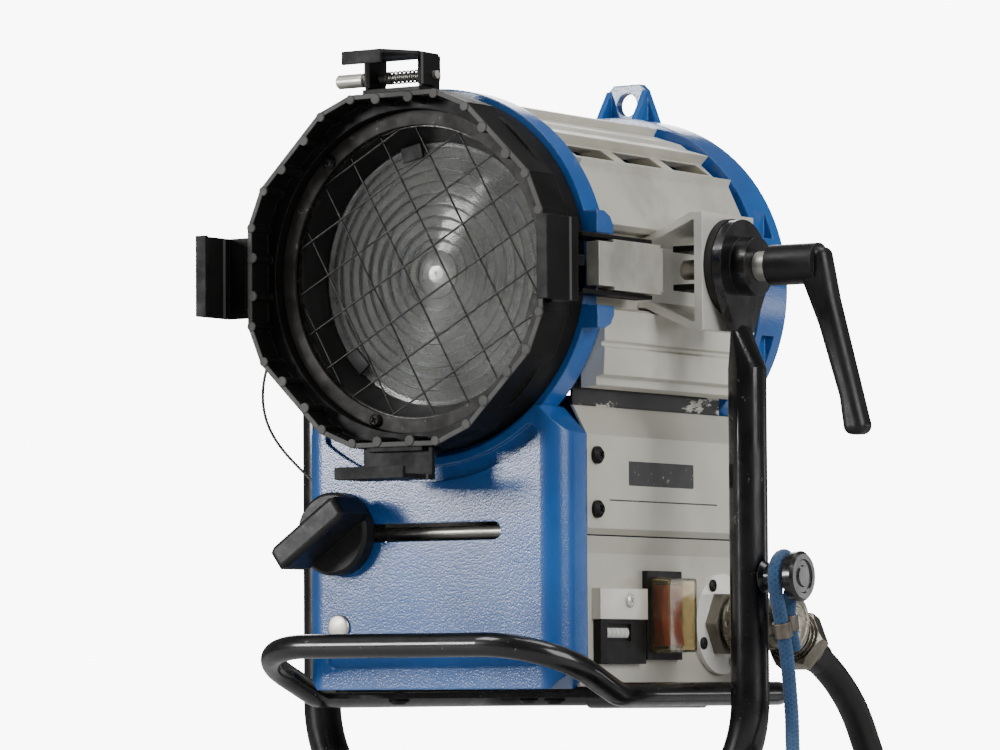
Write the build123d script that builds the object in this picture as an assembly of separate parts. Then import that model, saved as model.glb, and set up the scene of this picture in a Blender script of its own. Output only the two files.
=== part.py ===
from build123d import *
from math import atan, cos, degrees, pi, radians, sin, sqrt, tan
import os

# Fresnel spotlight in its tilting stirrup. Millimetres, +Z up, the lamp shines along -Y.
# The row origin is the shoulder of the stirrup's mounting spigot. Parts of the lamp head are
# drawn in the head's own frame: its origin is on the optical axis, in the lens ring's plane.

# Driving dimensions of the stand side
PIVOT_Z = 300.0  # tilt axis above the spigot's shoulder
ARM_X = 127.5  # arm centre from the middle plane
ARM_R = 9.5
STIRRUP_Z = 22.0  # centre of the stirrup's bottom bar
STIRRUP_BEND = 65.0
SPIGOT_R = 14.0
SPIGOT_LENGTH = 85.0
SOCKET_R = 8.05
SOCKET_DEPTH = 55.0
STUD_R = 5.0
EYE_X = (121.5, 126.5)  # inner and outer face of the arm's flattened eye
EYE_R = 23.5
NECK_DROP = 50.0  # tilt axis down to where the round tube starts

# Driving dimensions of the head
AXIS_DROP = 2.5  # optical axis below the tilt axis
PIVOT_Y = 102.0  # tilt axis behind the lens ring's plane
RING_R = 91.0  # outer radius of the blue end rings
RING_BORE = 80.0
FRONT_RING_Y = (16.5, 31.5)
REAR_RING_Y = (180.0, 206.0)
LUG_Y = (199.0, 204.0)
LUG_HOLE_Z = 99.5
SHELL_Y = (32.0, 175.0)
BOX_X = 76.0  # half width of the lower box
BOX_TOP = -80.0
BOX_BOTTOM = -204.0
BOX_FRONT_Y = (11.5, 35.0)
BOX_REAR_Y = (194.0, 206.0)
WALL = 4.0
SHEET = 1.5
DOOR_FLAT = 86.4  # flats of the lens door's front edge, from the axis
DOOR_CORNER = 24.8  # half length of a long flat
DOOR_FRONT = -20.0
EAR_REACH = 102.6
EAR_FRONT = -41.4
HINGE_X = -98.0
HINGE_Y = 20.0
PANEL_X = 71.0  # outer face of the control panel
SLOT_Z = -127.0
KNOB_X = -53.0
FOCUS_TRAVEL = 75.0
CRANK_ARMS = (70.0, 55.0)  # slider side and sled side
CRANK_SWING = degrees(atan(FOCUS_TRAVEL / 2 / CRANK_ARMS[0]))
SLED_Y = 76.0  # lamp axis at rest
SWITCH_Y = (97.4, 123.6)
INLET = (PANEL_X, 167.0, -171.8)
ELBOW = 33.5  # panel to the centre of the plug's elbow
LEG_DROOP = 22.0  # degrees that the elbow's cable leg points down, towards the rear
CATCH_Y = -10.0
CATCH_Z = 94.5
LATCH_PIN = (95.0, 30.0)

# Cable and tie cord
CABLE_R = 7.5
CORD_R = 3.5
COIL_CENTRE = (160.0, -14.0, -80.0)
COIL_MID_R = 98.0
COIL_LAYERS = 4
COIL_ROWS = 3
TURN_STEP = 15.2

HEAD = Location((0, -PIVOT_Y, PIVOT_Z - AXIS_DROP))
PLUG = Location(INLET)
LEG = PLUG * Pos(ELBOW, 0, 0) * Rot(-LEG_DROOP, 0, 0) * Rot(0, 0, 90)
parts = {}


def box(x, y, z):
    """A block between two limits along each axis."""
    size = [b - a for a, b in (x, y, z)]
    return Pos(*[(a + b) / 2 for a, b in (x, y, z)]) * Box(*size)


def rod(axis, r, span, u=0.0, v=0.0):
    """A cylinder along one axis; u and v are its place on the other two, in X, Y, Z order."""
    solid = Cylinder(r, span[1] - span[0])
    middle = sum(span) / 2
    if axis == "x":
        return Pos(middle, u, v) * Rot(0, 90, 0) * solid
    if axis == "y":
        return Pos(u, middle, v) * Rot(90, 0, 0) * solid
    return Pos(u, v, middle) * solid


def tube(axis, r, bore, span, u=0.0, v=0.0):
    return rod(axis, r, span, u, v) - rod(axis, bore, (span[0] - 1, span[1] + 1), u, v)


def plate(axis, outline, span):
    """An outline on the other two axes, in X, Y, Z order, extruded along one axis."""
    plane = {"x": Plane.YZ, "y": Plane.XZ, "z": Plane.XY}[axis]
    way = -1 if axis == "y" else 1
    face = make_face(Polyline(*outline, close=True))
    return extrude(plane.offset(way * span[0]) * face, way * (span[1] - span[0]))


def turned(axis, profile):
    """A profile of (along, radius) points turned about an axis through the origin."""
    solid = revolve(make_face(Polyline(*profile, close=True)), Axis.X, 360)
    if axis == "y":
        return Rot(0, 0, 90) * solid
    if axis == "z":
        return Rot(0, -90, 0) * solid
    return solid


def around_y(solid, angle):
    """Turned about the optical axis; a positive angle goes from +X towards +Z."""
    return Rot(0, -angle, 0) * solid


def mirrored(solid):
    return mirror(solid, Plane.YZ)


def hexagon(flats, span):
    """A hexagonal bar along X."""
    face = make_face(RegularPolygon(flats / sqrt(3), 6).wires()[0])
    return extrude(Plane.YZ.offset(span[0]) * face, span[1] - span[0])


def screw(r, height, shank=1.5, length=4.0):
    """A cross-head pan screw pointing along +Z, its head on the plane Z=0."""
    head = turned("z", [(0, 0), (0, r), (height * 0.55, r), (height, r * 0.62), (height, 0)])
    for angle in (45, 135):
        slot = Box(r * 1.1, r * 0.24, height)
        head -= Pos(0, 0, height) * Rot(0, 0, angle) * slot
    return head + rod("z", shank, (-length, 0))


def facing(solid, axis):
    """A solid made along +Z, turned to point along -Y, +X, -X or -Z."""
    turn = {"-y": (90, 0, 0), "+x": (0, 90, 0), "-x": (0, -90, 0), "-z": (180, 0, 0)}
    return Rot(*turn[axis]) * solid


def add(name, solid, place=None):
    parts[name] = place * solid if place else solid


# ---------------------------------------------------------------- stirrup and its fittings


def stirrup():
    """A bent tube whose ends are flattened into round eyes for the pivots."""
    top = PIVOT_Z - NECK_DROP
    route = [(-ARM_X, 0, top), (-ARM_X, 0, STIRRUP_Z), (ARM_X, 0, STIRRUP_Z), (ARM_X, 0, top)]
    path = FilletPolyline(*route, radius=STIRRUP_BEND)
    solid = sweep(Plane(path @ 0, z_dir=path % 0) * Circle(ARM_R), path)
    solid -= rod("z", 20, (0, 44))
    neck = [(-20.5, PIVOT_Z - 12), (20.5, PIVOT_Z - 12), (8.6, PIVOT_Z - 32), (-8.6, PIVOT_Z - 32)]
    pressed = Plane((sum(EYE_X) / 2, 0, PIVOT_Z - 29)) * Ellipse(2.7, 8.9)
    crimp = loft([Plane((ARM_X, 0, top)) * Circle(ARM_R), pressed])
    eye = rod("x", EYE_R, EYE_X, 0, PIVOT_Z) + plate("x", neck, EYE_X) + crimp
    eye += rod("x", 14.5, (EYE_X[0], 134.6), 0, PIVOT_Z)
    eye -= rod("x", STUD_R + 0.05, (100, 140), 0, PIVOT_Z)
    return solid + eye + mirrored(eye) + cleat()


def spigot():
    """A welded boss with a 28 mm pin under it, and a 16 mm socket in the pin's end."""
    profile = [(-SPIGOT_LENGTH, 0), (-SPIGOT_LENGTH, SPIGOT_R - 1.5)]
    profile += [(-SPIGOT_LENGTH + 1.5, SPIGOT_R), (0, SPIGOT_R), (0, 20), (40, 20), (44, 16), (44, 0)]
    solid = turned("z", profile)
    groove = turned("z", [(-34, SPIGOT_R + 1), (-31, 11.8), (-19, 11.8), (-16, SPIGOT_R + 1)])
    solid -= groove
    return solid - rod("z", SOCKET_R, (-SPIGOT_LENGTH - 1, SOCKET_DEPTH - SPIGOT_LENGTH))


def cleat():
    """A stub on the right arm with a round end disc that keeps the cord on."""
    z = PIVOT_Z - AXIS_DROP - 150
    profile = [(136.5, 0), (136.5, 8), (139, 6), (150.5, 6), (153, 12), (157, 12.4), (158.5, 11)]
    profile += [(158.5, 8.4), (157.6, 7.8), (157.6, 5.4), (158.5, 4.8), (158.5, 0)]
    return Pos(0, 0, z) * turned("x", profile)


def pivot_bolt():
    """The left pivot: a plain bolt with a nut, in line with the clamping stud."""
    bolt = rod("x", STUD_R, (-138, -98), 0, PIVOT_Z)
    head = Pos(0, 0, PIVOT_Z) * hexagon(17, (-141.5, -134.6))
    return bolt + head


def clamp_stud():
    """Threaded stud with a collar; its outer end carries the lever and the lever's screw."""
    profile = [(92, 0), (92, 4.2), (93, STUD_R), (134.8, STUD_R), (134.8, 7.3)]
    profile += [(142, 7.3), (142, 5.5), (151.5, 5.5), (151.5, 0)]
    end = [(151.5, 0), (151.5, 2.2), (166, 2.2), (166, 4.2), (168.6, 4.2), (168.6, 0)]
    screw_end = turned("x", end) - box((167.6, 170), (-3.6, 3.6), (-0.6, 0.6))
    return Pos(0, 0, PIVOT_Z) * Compound([turned("x", profile), screw_end])


def coil_spring(axis_span, mean_r, wire_r, turns):
    """A helical spring along X."""
    length = axis_span[1] - axis_span[0] - 2 * wire_r
    helix = Helix(pitch=length / turns, height=length, radius=mean_r)
    start = Plane(helix @ 0, z_dir=helix % 0)
    wire = sweep(start * Circle(wire_r), helix)
    return Pos(axis_span[0] + wire_r, 0, 0) * Rot(0, 90, 0) * wire


def tilt_lever():
    """A hub with a bent clamping arm that leans outwards as it goes down."""
    z = PIVOT_Z
    outline = [(161, z - 9), (166.5, z + 9), (174, z + 7), (179, z - 18), (196.5, z - 84.5)]
    outline += [(183.6, z - 84.5), (181, z - 66), (170, z - 31)]
    arm = plate("y", outline, (-6.5, 6.5))
    arm = fillet(arm.edges().filter_by(Axis.Y), 4.5)
    arm = fillet(arm.edges().filter_by(Axis.Y, reverse=True), 4.5)
    solid = arm + rod("x", 10, (142.3, 169), 0, z)
    solid -= rod("x", 5.56, (142, 152), 0, z)
    solid -= rod("x", 2.6, (150, 160), 0, z)
    return solid - rod("x", 4.6, (158, 172), 0, z)


def make_stirrup_side():
    add("stirrup", stirrup())
    add("spigot", spigot())
    add("pivot_bolt", pivot_bolt())
    add("clamp_stud", clamp_stud())
    add("lever_spring", coil_spring((158.3, 165.7), 3.4, 0.45, 4), Pos(0, 0, PIVOT_Z))
    add("tilt_lever", tilt_lever())


# ---------------------------------------------------------------- castings and shells


def box_outline(inset=0.0):
    """The lower box's outline on X and Z, with its shoulders running up into the ring."""
    x = BOX_X - inset
    low = BOX_BOTTOM + inset
    half = [(63 - inset, -67 + inset * 0.4), (x, BOX_TOP - inset * 0.4), (x, low + 8), (x - 8, low)]
    return half + [(-a, b) for a, b in reversed(half)]


def ring_groove(span):
    """A round-ended groove that follows the ring across the front of the lower box."""
    r, half = 98.7, 3.9
    groove = tube("y", r + half, r - half, span) & plate("y", [(0, 0), (-88, -121), (88, -121)], span)
    for side in (-1, 1):
        groove += rod("y", half, span, side * r * 88 / 149.6, -r * 121 / 149.6)
    return groove


def front_casting():
    """The blue ring and the lower front box, in one casting."""
    solid = plate("y", box_outline(), BOX_FRONT_Y)
    corners = solid.edges().filter_by(Axis.Z).group_by(Axis.Y)[0]
    solid = fillet(corners, 12)
    inner = plate("y", box_outline(WALL), (BOX_FRONT_Y[0] + WALL, BOX_FRONT_Y[1] + 1))
    solid -= fillet(inner.edges().filter_by(Axis.Z).group_by(Axis.Y)[0], 8)
    solid -= rod("y", RING_R - 0.5, (0, FRONT_RING_Y[0]))
    solid += tube("y", RING_R, RING_BORE, FRONT_RING_Y)
    solid -= rod("y", RING_BORE, (0, 40))
    solid -= box((84.5, 95), (16, 32), (-19, 20))
    for z, way in ((15.5, 1), (-19.5, -1)):
        rim = [(16.5, z), (31.5, z), (31.5, z + way * 4), (28.5, z + way * 8.5), (23, z + way * 11)]
        solid += plate("x", rim + [(16.5, z + way * 11)], (84.6, 94.5))
    slot = box((KNOB_X - 5, KNOB_X + FOCUS_TRAVEL + 15), (8, 20), (SLOT_Z - 4.4, SLOT_Z + 4.4))
    slot += rod("y", 4.4, (8, 20), KNOB_X - 5, SLOT_Z)
    solid -= slot + rod("y", 4.4, (8, 20), KNOB_X + FOCUS_TRAVEL + 15, SLOT_Z)
    recess = box((-57, 58), (10, 13), (-193.5, -184.5))
    for x in (-57, 58):
        recess += rod("y", 4.5, (10, 13), x, -189)
    solid -= recess + ring_groove((10, BOX_FRONT_Y[0] + 2.6))
    solid -= rod("y", 5.0, (8, 20), -54, -173)
    solid -= rod("x", 3.0, (-73.6, 73.6), 26, SLOT_Z)
    for low in (14.2, -30.0):
        knuckle = rod("z", 5, (low, low + 15.8), HINGE_X, HINGE_Y)
        web = [(HINGE_X, HINGE_Y), (HINGE_X, HINGE_Y + 5), (-86, 27), (-86, 18.5)]
        solid += knuckle + plate("z", web, (low, low + 15.8))
    return solid - rod("z", 2.5, (-40, 40), HINGE_X, HINGE_Y)


def lug():
    """The safety lug on top of the rear casting, with a gusset each side of its hole."""
    outline = [(-19, 86), (19, 86), (11, 107), (8, 110), (-8, 110), (-11, 107)]
    solid = plate("y", outline, LUG_Y)
    for x in (-12.5, 9.5):
        gusset = [(LUG_Y[0], 86), (LUG_Y[0], 107), (187, 90), (187, 86)]
        solid += plate("x", gusset, (x, x + 3))
    return solid - rod("y", 6, (180, 210), 0, LUG_HOLE_Z)


def rear_casting():
    """The blue rear ring and the rear end of the lower box, with a window for the louvres."""
    front, back = BOX_REAR_Y
    solid = plate("y", box_outline(), BOX_REAR_Y)
    solid = fillet(solid.edges().filter_by(Axis.Z).group_by(Axis.Y)[-1], 10)
    inner = plate("y", box_outline(WALL), (front - 1, back - WALL))
    solid -= fillet(inner.edges().filter_by(Axis.Z).group_by(Axis.Y)[-1], 6)
    solid -= box((-52, 52), (back - WALL - 1, back + 1), (-188, -90))
    solid += tube("y", RING_R, RING_BORE, REAR_RING_Y)
    solid += tube("y", RING_BORE + 4, RING_BORE, (SHELL_Y[1] + 0.4, REAR_RING_Y[0] + 1))
    solid -= rod("y", RING_BORE, (170, 210))
    for z in (-33, 33):
        for side in (-1, 1):
            x = side * 84
            solid -= box(sorted((x - side * 2, x + side * 8)), (186, 198), (z - 8, z + 8))
    return solid + lug()


def rear_cover():
    """The louvred plate that closes the back."""
    outline = [(58, -66), (62, -72), (62, -190), (58, -196), (-58, -196), (-62, -190), (-62, -72), (-58, -66)]
    solid = plate("y", outline, (206, 207.6)) + rod("y", 79.8, (203, 206)) + rod("y", 76, (206, 211))
    solid -= rod("y", 73, (200, 208))
    for z in range(-48, 49, 12):
        solid -= box((-50, 50), (207, 212), (z - 2, z + 2))
    for z in range(-180, -90, 15):
        solid -= box((-45, 45), (205, 209), (z - 2, z + 2))
    return solid


def shell_half():
    """Half of the ribbed shell's outline, from the top down the right side."""
    return [
        (0, 84.6), (27, 84.2), (32.6, 82.6), (30.6, 79.0), (46.5, 73.9), (50.5, 70.9), (63.2, 67.0),
        (58.7, 62.6), (66, 56), (76.4, 54.1), (74.8, 50.6), (88.8, 21.5), (86, 19),
        (80, 19), (80, -19), (86, -19), (89, -20.5), (89, -35.5), (87, -36.5), (87, -38), (89, -39),
        (88.2, -52), (84, -53), (84, -57), (77, -58),
    ]


def ribbed_shell():
    """The ribbed aluminium housing, open below, with vent slots between cross webs."""
    half = shell_half()
    outline = half + [(-x, z) for x, z in reversed(half) if x]
    solid = plate("y", outline, SHELL_Y)
    solid -= rod("y", 77, (20, 190)) + box((-75, 75), (20, 190), (-60, 0))
    for side in (-1, 1):
        solid -= box(sorted((side * 70, side * 83.5)), (SHELL_Y[0] + 2, SHELL_Y[1] - 2), (-54, -23))
        for start in (41, 87, 133):
            opening = [(start + 4, 56.8), (start + 40, 56.8), (start + 36, 62), (start, 62)]
            solid -= plate("x", opening, sorted((side * 44, side * 70)))
    return solid + box((79.9, 88.1), (59, 64.6), (-8, 8))


def panel(outline, y):
    """A bent sheet along Y with the outline's outer face; the sheet lies inside it."""
    inner = [(x - SHEET, z) for x, z in reversed(outline)]
    return plate("y", outline + inner, y)


def upper_panel():
    """The upper sheet of one side, with a flange that closes the gap under the shell."""
    sheet = panel([(68, -65.7), (76, -80.5), (76, -126), (73.4, -129)], (35.4, 193.6))
    return sheet + box((68 - SHEET, 68), (35.4, SHELL_Y[1]), (-66.5, -50))


def lower_panel():
    return panel([(73.4, -129.6), (PANEL_X, -138), (PANEL_X, -203)], (35.4, 193.6))


def name_panel():
    solid = upper_panel()
    for z in (-90.5, -116.8):
        solid -= rod("x", 1.6, (70, 80), 43.5, z)
    return solid


def control_panel():
    """The lower right panel, with holes for the meter, the switch and the inlet."""
    solid = lower_panel() - box((60, 80), (49, 89), (-190, -157))
    solid -= box((60, 80), (SWITCH_Y[0] - 0.4, SWITCH_Y[1] + 0.4), (-186, -150))
    return solid - rod("x", 12.2, (60, 80), INLET[1], INLET[2])


def left_panels():
    """The left side's upper and lower sheets; the lower one is louvred."""
    lower = lower_panel()
    for y in range(60, 170, 12):
        lower -= box((60, 80), (y, y + 4), (-188, -150))
    return Compound([mirrored(upper_panel()), mirrored(lower)])


def bottom_plate():
    solid = box((-73, 73), (35.4, 193.6), (-205.2, -203.2))
    for x in (-46, 46):
        for y in (52, 172):
            solid -= rod("z", 2.1, (-210, -200), x, y)
    return solid


def bumper():
    """The round guard: raised bar in front, rails along both sides, and straps underneath."""
    x, rail, bar = 89.0, -207.0, -182.6
    left = [(-24, 214, rail), (-x, 214, rail), (-x, 42, rail), (-x, -21, bar)]
    route = left + [(-a, b, c) for a, b, c in reversed(left)]
    radii = [25, 30, 38, 38, 30, 25]
    path = FilletPolyline(*route, radius=radii)
    solid = sweep(Plane(path @ 0, z_dir=path % 0) * Circle(6), path)
    for y in (52, 172):
        strap = box((-x, x), (y - 8, y + 8), (-208.4, -205.4))
        for side in (-46, 46):
            strap -= rod("z", 2.1, (-210, -200), side, y)
        solid += strap
    return solid + rod("x", 7.4, (-34, 34), 214, rail)


def pivot_bracket():
    """A hat-section bracket whose slanted legs stand in the shell's side channel."""
    outer = [(80.3, 17), (84.5, 17.4), (111, 29), (117.2, 29)]
    inner = [(112.6, 25), (111.5, 25), (85.5, 14), (80.3, 14)]
    upper = outer + [(117.2, 0), (112.6, 0)] + inner
    solid = plate("y", upper, (PIVOT_Y - 25, PIVOT_Y + 25))
    solid += plate("y", [(x, -z) for x, z in upper], (PIVOT_Y - 25, PIVOT_Y + 25))
    return solid - rod("x", STUD_R + 0.3, (100, 120), PIVOT_Y, AXIS_DROP)


def stud_nut():
    """The nut that the stud runs in, with the two tabs that keep it from turning."""
    nut = Pos(0, PIVOT_Y, AXIS_DROP) * hexagon(16, (104.5, 112.4))
    for side in (-1, 1):
        z = sorted((AXIS_DROP + side * 8, AXIS_DROP + side * 11))
        nut += box((94, 112.4), (PIVOT_Y - 14, PIVOT_Y + 14), z)
    nut += box((110.6, 112.4), (PIVOT_Y - 14, PIVOT_Y + 14), (AXIS_DROP - 9, AXIS_DROP + 9))
    return nut - rod("x", STUD_R + 0.05, (100, 120), PIVOT_Y, AXIS_DROP)


def brake_disc():
    return tube("x", 24, STUD_R + 0.3, (117.3, 121.2), PIVOT_Y, AXIS_DROP)


def make_housing():
    add("front_casting", front_casting(), HEAD)
    add("rear_casting", rear_casting(), HEAD)
    add("rear_cover", rear_cover(), HEAD)
    add("ribbed_shell", ribbed_shell(), HEAD)
    add("name_panel", name_panel(), HEAD)
    add("control_panel", control_panel(), HEAD)
    add("left_panels", left_panels(), HEAD)
    add("bottom_plate", bottom_plate(), HEAD)
    add("bumper", bumper(), HEAD)
    add("pivot_brackets", Compound([pivot_bracket(), mirrored(pivot_bracket())]), HEAD)
    add("clamp_nuts", Compound([stud_nut(), mirrored(stud_nut())]), HEAD)
    add("brake_discs", Compound([brake_disc(), mirrored(brake_disc())]), HEAD)


def make_screws():
    panel_screws = [Pos(76, 43.5, z) * facing(screw(4.3, 3.4), "+x") for z in (-90.5, -116.8)]
    under = [Pos(x, y, -208.4) * facing(screw(5.2, 3, 2.1, 6), "-z") for x in (-46, 46) for y in (52, 172)]
    add("head_screws", Compound(panel_screws + under + flange_screws()), HEAD)


# ---------------------------------------------------------------- controls on the right side


def hour_counter():
    solid = box((71, 76), (47, 91), (-170.2, -155)) + box((65, 71), (49.2, 88.8), (-189.8, -157.2))
    return solid + Pos(76, 74, -161) * facing(screw(3.4, 1.6, 1, 1), "+x")


def counter_display():
    solid = box((71, 75.4), (48, 90), (-192, -170.4))
    return solid - box((74, 76), (54, 76), (-181, -172.5))


def switch_cover():
    """A clear splash cover: a thin box, open behind, whose sides lean in a little."""
    middle = Pos(0, sum(SWITCH_Y) / 2, -168)
    width = SWITCH_Y[1] - SWITCH_Y[0] + 1
    solid = extrude(Plane.YZ.offset(74) * RectangleRounded(width, 38, 2.5), 10.8, taper=4)
    hollow = extrude(Plane.YZ.offset(73) * RectangleRounded(width - 2.2, 35.8, 1.6), 10.7, taper=4)
    return middle * (solid - hollow)


def make_controls():
    add("hour_counter", hour_counter(), HEAD)
    add("counter_display", counter_display(), HEAD)
    front, back = SWITCH_Y
    base = box((71, 74), (front - 3.4, back + 3.4), (-190, -146))
    base += box((60, 71), SWITCH_Y, (-185.6, -150.4))
    add("switch_base", base - box((69.4, 76), (front + 3, back - 3), (-184, -152)), HEAD)
    outline = [(72, -183), (79.5, -183), (77.5, -168), (79.5, -153), (72, -153)]
    rocker = plate("y", outline, (front + 4.4, back - 4.4))
    pivot = rod("y", 2, (front + 3.6, back - 3.6), 72, -168)
    add("rocker_switch", rocker + pivot, HEAD)
    add("switch_cover", switch_cover(), HEAD)


def inlet():
    """The inlet's flange, its hexagon, and the barrel that the plug goes on."""
    solid = rod("x", 25.5, (0, 2.8)) + hexagon(30, (2.8, 9)) + rod("x", 12, (9, 19))
    solid += rod("x", 11.6, (-14, 0))
    for angle in range(27, 387, 90):
        y, z = 21.6 * cos(radians(angle)), 21.6 * sin(radians(angle))
        solid -= rod("x", 1.6, (-1, 4), y, z)
    return solid


def flange_screws():
    made = []
    for angle in range(27, 387, 90):
        y, z = 21.6 * cos(radians(angle)), 21.6 * sin(radians(angle))
        made.append(PLUG * Pos(2.8, y, z) * facing(screw(3.1, 1.6, 1.5, 2.7), "+x"))
    return made


def coupling_ring():
    """The plug's turning ring, with grip slots around it."""
    solid = turned("x", [(11, 12.05), (11, 14.4), (12.5, 15.2), (21, 15.2), (22.5, 14.2), (22.5, 12.05)])
    for angle in range(0, 360, 30):
        solid -= Rot(angle, 0, 0) * box((13.5, 20), (-1.5, 1.5), (14.3, 17))
    return solid


def plug_elbow():
    """The plug's shell: a barrel inside the ring, a round elbow, and the start of the leg."""
    return rod("x", 12, (19, 23)) + rod("x", 13, (22.8, ELBOW)) + Pos(ELBOW, 0, 0) * Sphere(13)


def plug_leg():
    """The leg, along X: stepped collar with slots, hexagonal gland nut and cap."""
    solid = turned("x", [(0, 0), (0, 10.6), (15.4, 10.6), (15.4, 12.2), (19, 12.2), (19, 0)])
    for angle in range(15, 375, 60):
        solid -= Rot(angle, 0, 0) * box((9, 13), (-3, 3), (9.2, 12))
    nut = hexagon(28, (19, 28)) & turned("x", [(19, 0), (19, 14.2), (21, 16.2), (28, 16.2), (28, 0)])
    return solid + nut + turned("x", [(28, 0), (28, 13.4), (34, 10.6), (34, 0)])


def make_connector():
    add("inlet", inlet(), HEAD * PLUG)
    add("coupling_ring", coupling_ring(), HEAD * PLUG)
    add("cable_plug", PLUG * plug_elbow() + LEG * plug_leg(), HEAD)


def focus_knob():
    """A disc with a tapered wing grip across it."""
    disc = turned("y", [(2.4, 0), (2.4, 19), (4, 20.6), (11.1, 20.6), (11.1, 0)])
    half = [(-23.4, -5), (-20, -6.5), (20, -6.5), (23.4, -5)]
    wing = plate("y", half + [(-x, -z) for x, z in half], (-19, 3))
    wing = fillet(wing.edges().group_by(Axis.Y)[0], 3)
    solid = disc + Rot(0, -35, 0) * wing
    solid -= rod("y", 4.05, (-10, 12))
    return Pos(KNOB_X, 0, SLOT_Z) * solid


def focus_slider():
    """The block behind the slot: the knob's stem in front, the crank's drive pin behind."""
    x = KNOB_X
    block = box((x - 12, x + 12), (15.9, 33), (SLOT_Z - 9, SLOT_Z + 9))
    block -= rod("x", 3.05, (x - 20, x + 20), 26, SLOT_Z)
    tail = box((x - 5, x + 5), (33, 43), (SLOT_Z - 4, SLOT_Z + 6))
    tail += rod("z", 3, (SLOT_Z + 6, SLOT_Z + 15), x, 38)
    return block + tail + rod("y", 4, (-9, 16), x, SLOT_Z)


def focus_crank():
    """The bell crank that turns the slider's motion through a right angle to the sled."""
    solid = rod("z", 9, (-117, -114))
    for reach, angle, slot in ((88, -90, (66, 84)), (71, 0, (51, 67))):
        arm = box((0, reach), (-8, 8), (-117, -114)) - box(slot, (-4.4, 4.4), (-120, -110))
        solid += Rot(0, 0, angle - CRANK_SWING) * arm
    solid -= rod("z", 4.05, (-120, -110))
    return Pos(KNOB_X + FOCUS_TRAVEL / 2, 38 + CRANK_ARMS[0], 0) * solid


def lamp_sled():
    """The carriage on two guide rods, with the crank's pin under it and the mirror's strut."""
    y = SLED_Y
    solid = box((-40, 40), (y - 16, y + 16), (-106, -90))
    for x in (-32, 32):
        solid -= rod("y", 4.05, (0, 200), x, -98)
    pin_x = KNOB_X + FOCUS_TRAVEL / 2 + CRANK_ARMS[1]
    pin_y = 38 + CRANK_ARMS[0] - CRANK_ARMS[1] * tan(radians(CRANK_SWING))
    solid += rod("z", 3, (-119, -106), pin_x, pin_y)
    strut = [(y + 12, -92), (y + 16, -92), (y + 45, -42), (y + 41.5, -42)]
    return solid + plate("x", strut, (-6, 6))


def reflector():
    """A spherical mirror centred on the lamp's arc."""
    y = SLED_Y
    solid = Pos(0, y, 0) * (Sphere(63.5) - Sphere(62))
    keep = rod("y", 44, (y + 20, y + 80))
    return solid & keep


def lamp():
    """The single-ended discharge lamp's glass, and its ceramic base with two pins."""
    profile = [(-50, 0), (-50, 14), (-46, 15), (34, 15), (42, 11), (47, 4), (48, 0)]
    glass = Pos(0, SLED_Y, 0) * turned("z", profile)
    base = box((-17, 17), (SLED_Y - 9, SLED_Y + 9), (-64, -50))
    for x in (-11, 11):
        base += rod("z", 3.1, (-80, -64), x, SLED_Y)
    return Compound([glass, base])


def lamp_socket():
    solid = box((-22, 22), (SLED_Y - 14, SLED_Y + 14), (-90, -64))
    for x in (-11, 11):
        solid -= rod("z", 3.1, (-82, -60), x, SLED_Y)
    return solid


def make_inside():
    for name, solid in (("focus_knob", focus_knob()), ("focus_slider", focus_slider()),
                        ("focus_crank", focus_crank()),
                        ("lamp_sled", Compound([lamp_sled(), lamp_socket()])),
                        ("reflector", reflector()), ("lamp", lamp())):
        add(name, solid, HEAD)
    rods = [rod("y", 4, (48, 176), x, -98) for x in (-32, 32)] + [rod("x", 3, (-73.4, 73.4), 26, SLOT_Z)]
    add("guide_rods", Compound(rods), HEAD)
    holders = []
    for y in (48, 172):
        holder = box((-74.3, 74.3), (y, y + 4), (-106, -88))
        for x in (-32, 32):
            holder -= rod("y", 4, (y - 1, y + 5), x, -98)
        holders.append(holder)
    floor = box((-68, 68), (35.4, 193.6), (-134, -132.5))
    post = (KNOB_X + FOCUS_TRAVEL / 2, 38 + CRANK_ARMS[0])
    floor += rod("z", 6, (-132.5, -117.3), *post) + rod("z", 4, (-118, -112), *post)
    add("chassis", Compound([floor] + holders), HEAD)
    add("igniter", box((-62, 30), (56, 150), (-196, -140)), HEAD)
    switch = box((-10, 10), (34, 54), (60, 74)) - rod("y", 2.06, (33, 46), 0, 67)
    add("safety_switch", switch + box((-7, 7), (38, 50), (74, 76.6)), HEAD)
    add("safety_plunger", rod("y", 2, (30.7, 44), 0, 67), HEAD)


# ---------------------------------------------------------------- lens door


def door_outline(inset=0.0):
    """Sixteen corners: eight long flats joined by eight short ones."""
    made = []
    for side in range(8):
        turn = radians(45 * side)
        for v in (-DOOR_CORNER + inset * 0.2, DOOR_CORNER - inset * 0.2):
            u = DOOR_FLAT - inset
            made.append((u * cos(turn) - v * sin(turn), u * sin(turn) + v * cos(turn)))
    return made


def door_frame():
    """The black door casting: a thin-walled front edge with bosses, and a round rear flange."""
    solid = plate("y", door_outline(), (DOOR_FRONT, 3)) + rod("y", 88, (-2, 16))
    solid -= plate("y", door_outline(2.4), (DOOR_FRONT - 1, -6))
    solid -= rod("y", 79.6, (-10, 1.6))
    solid -= rod("y", 74, (0, 20))
    for side in range(8):
        for v in (-24.4, -9.5, 9.5, 24.4):
            inner = abs(v) < 20
            boss = rod("y", 2.5 if inner else 2.3, (DOOR_FRONT - 0.4, -4), 83.6 if inner else 84.2, v)
            solid += around_y(boss, 45 * side)
    for angle in (132, 252, 12):
        solid -= around_y(rod("y", 1.55, (0, 12), 75.8, 0), angle)
    web = [(-86, 6), (-86, 15.2), (-92, 15.2), (HINGE_X + 3, 24), (HINGE_X - 5, HINGE_Y), (-93, 8)]
    solid += plate("z", web, (-13.8, 13.8)) + rod("z", 5, (-13.8, 13.8), HINGE_X, HINGE_Y)
    return solid - rod("z", 2.55, (-20, 20), HINGE_X, HINGE_Y)


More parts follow.
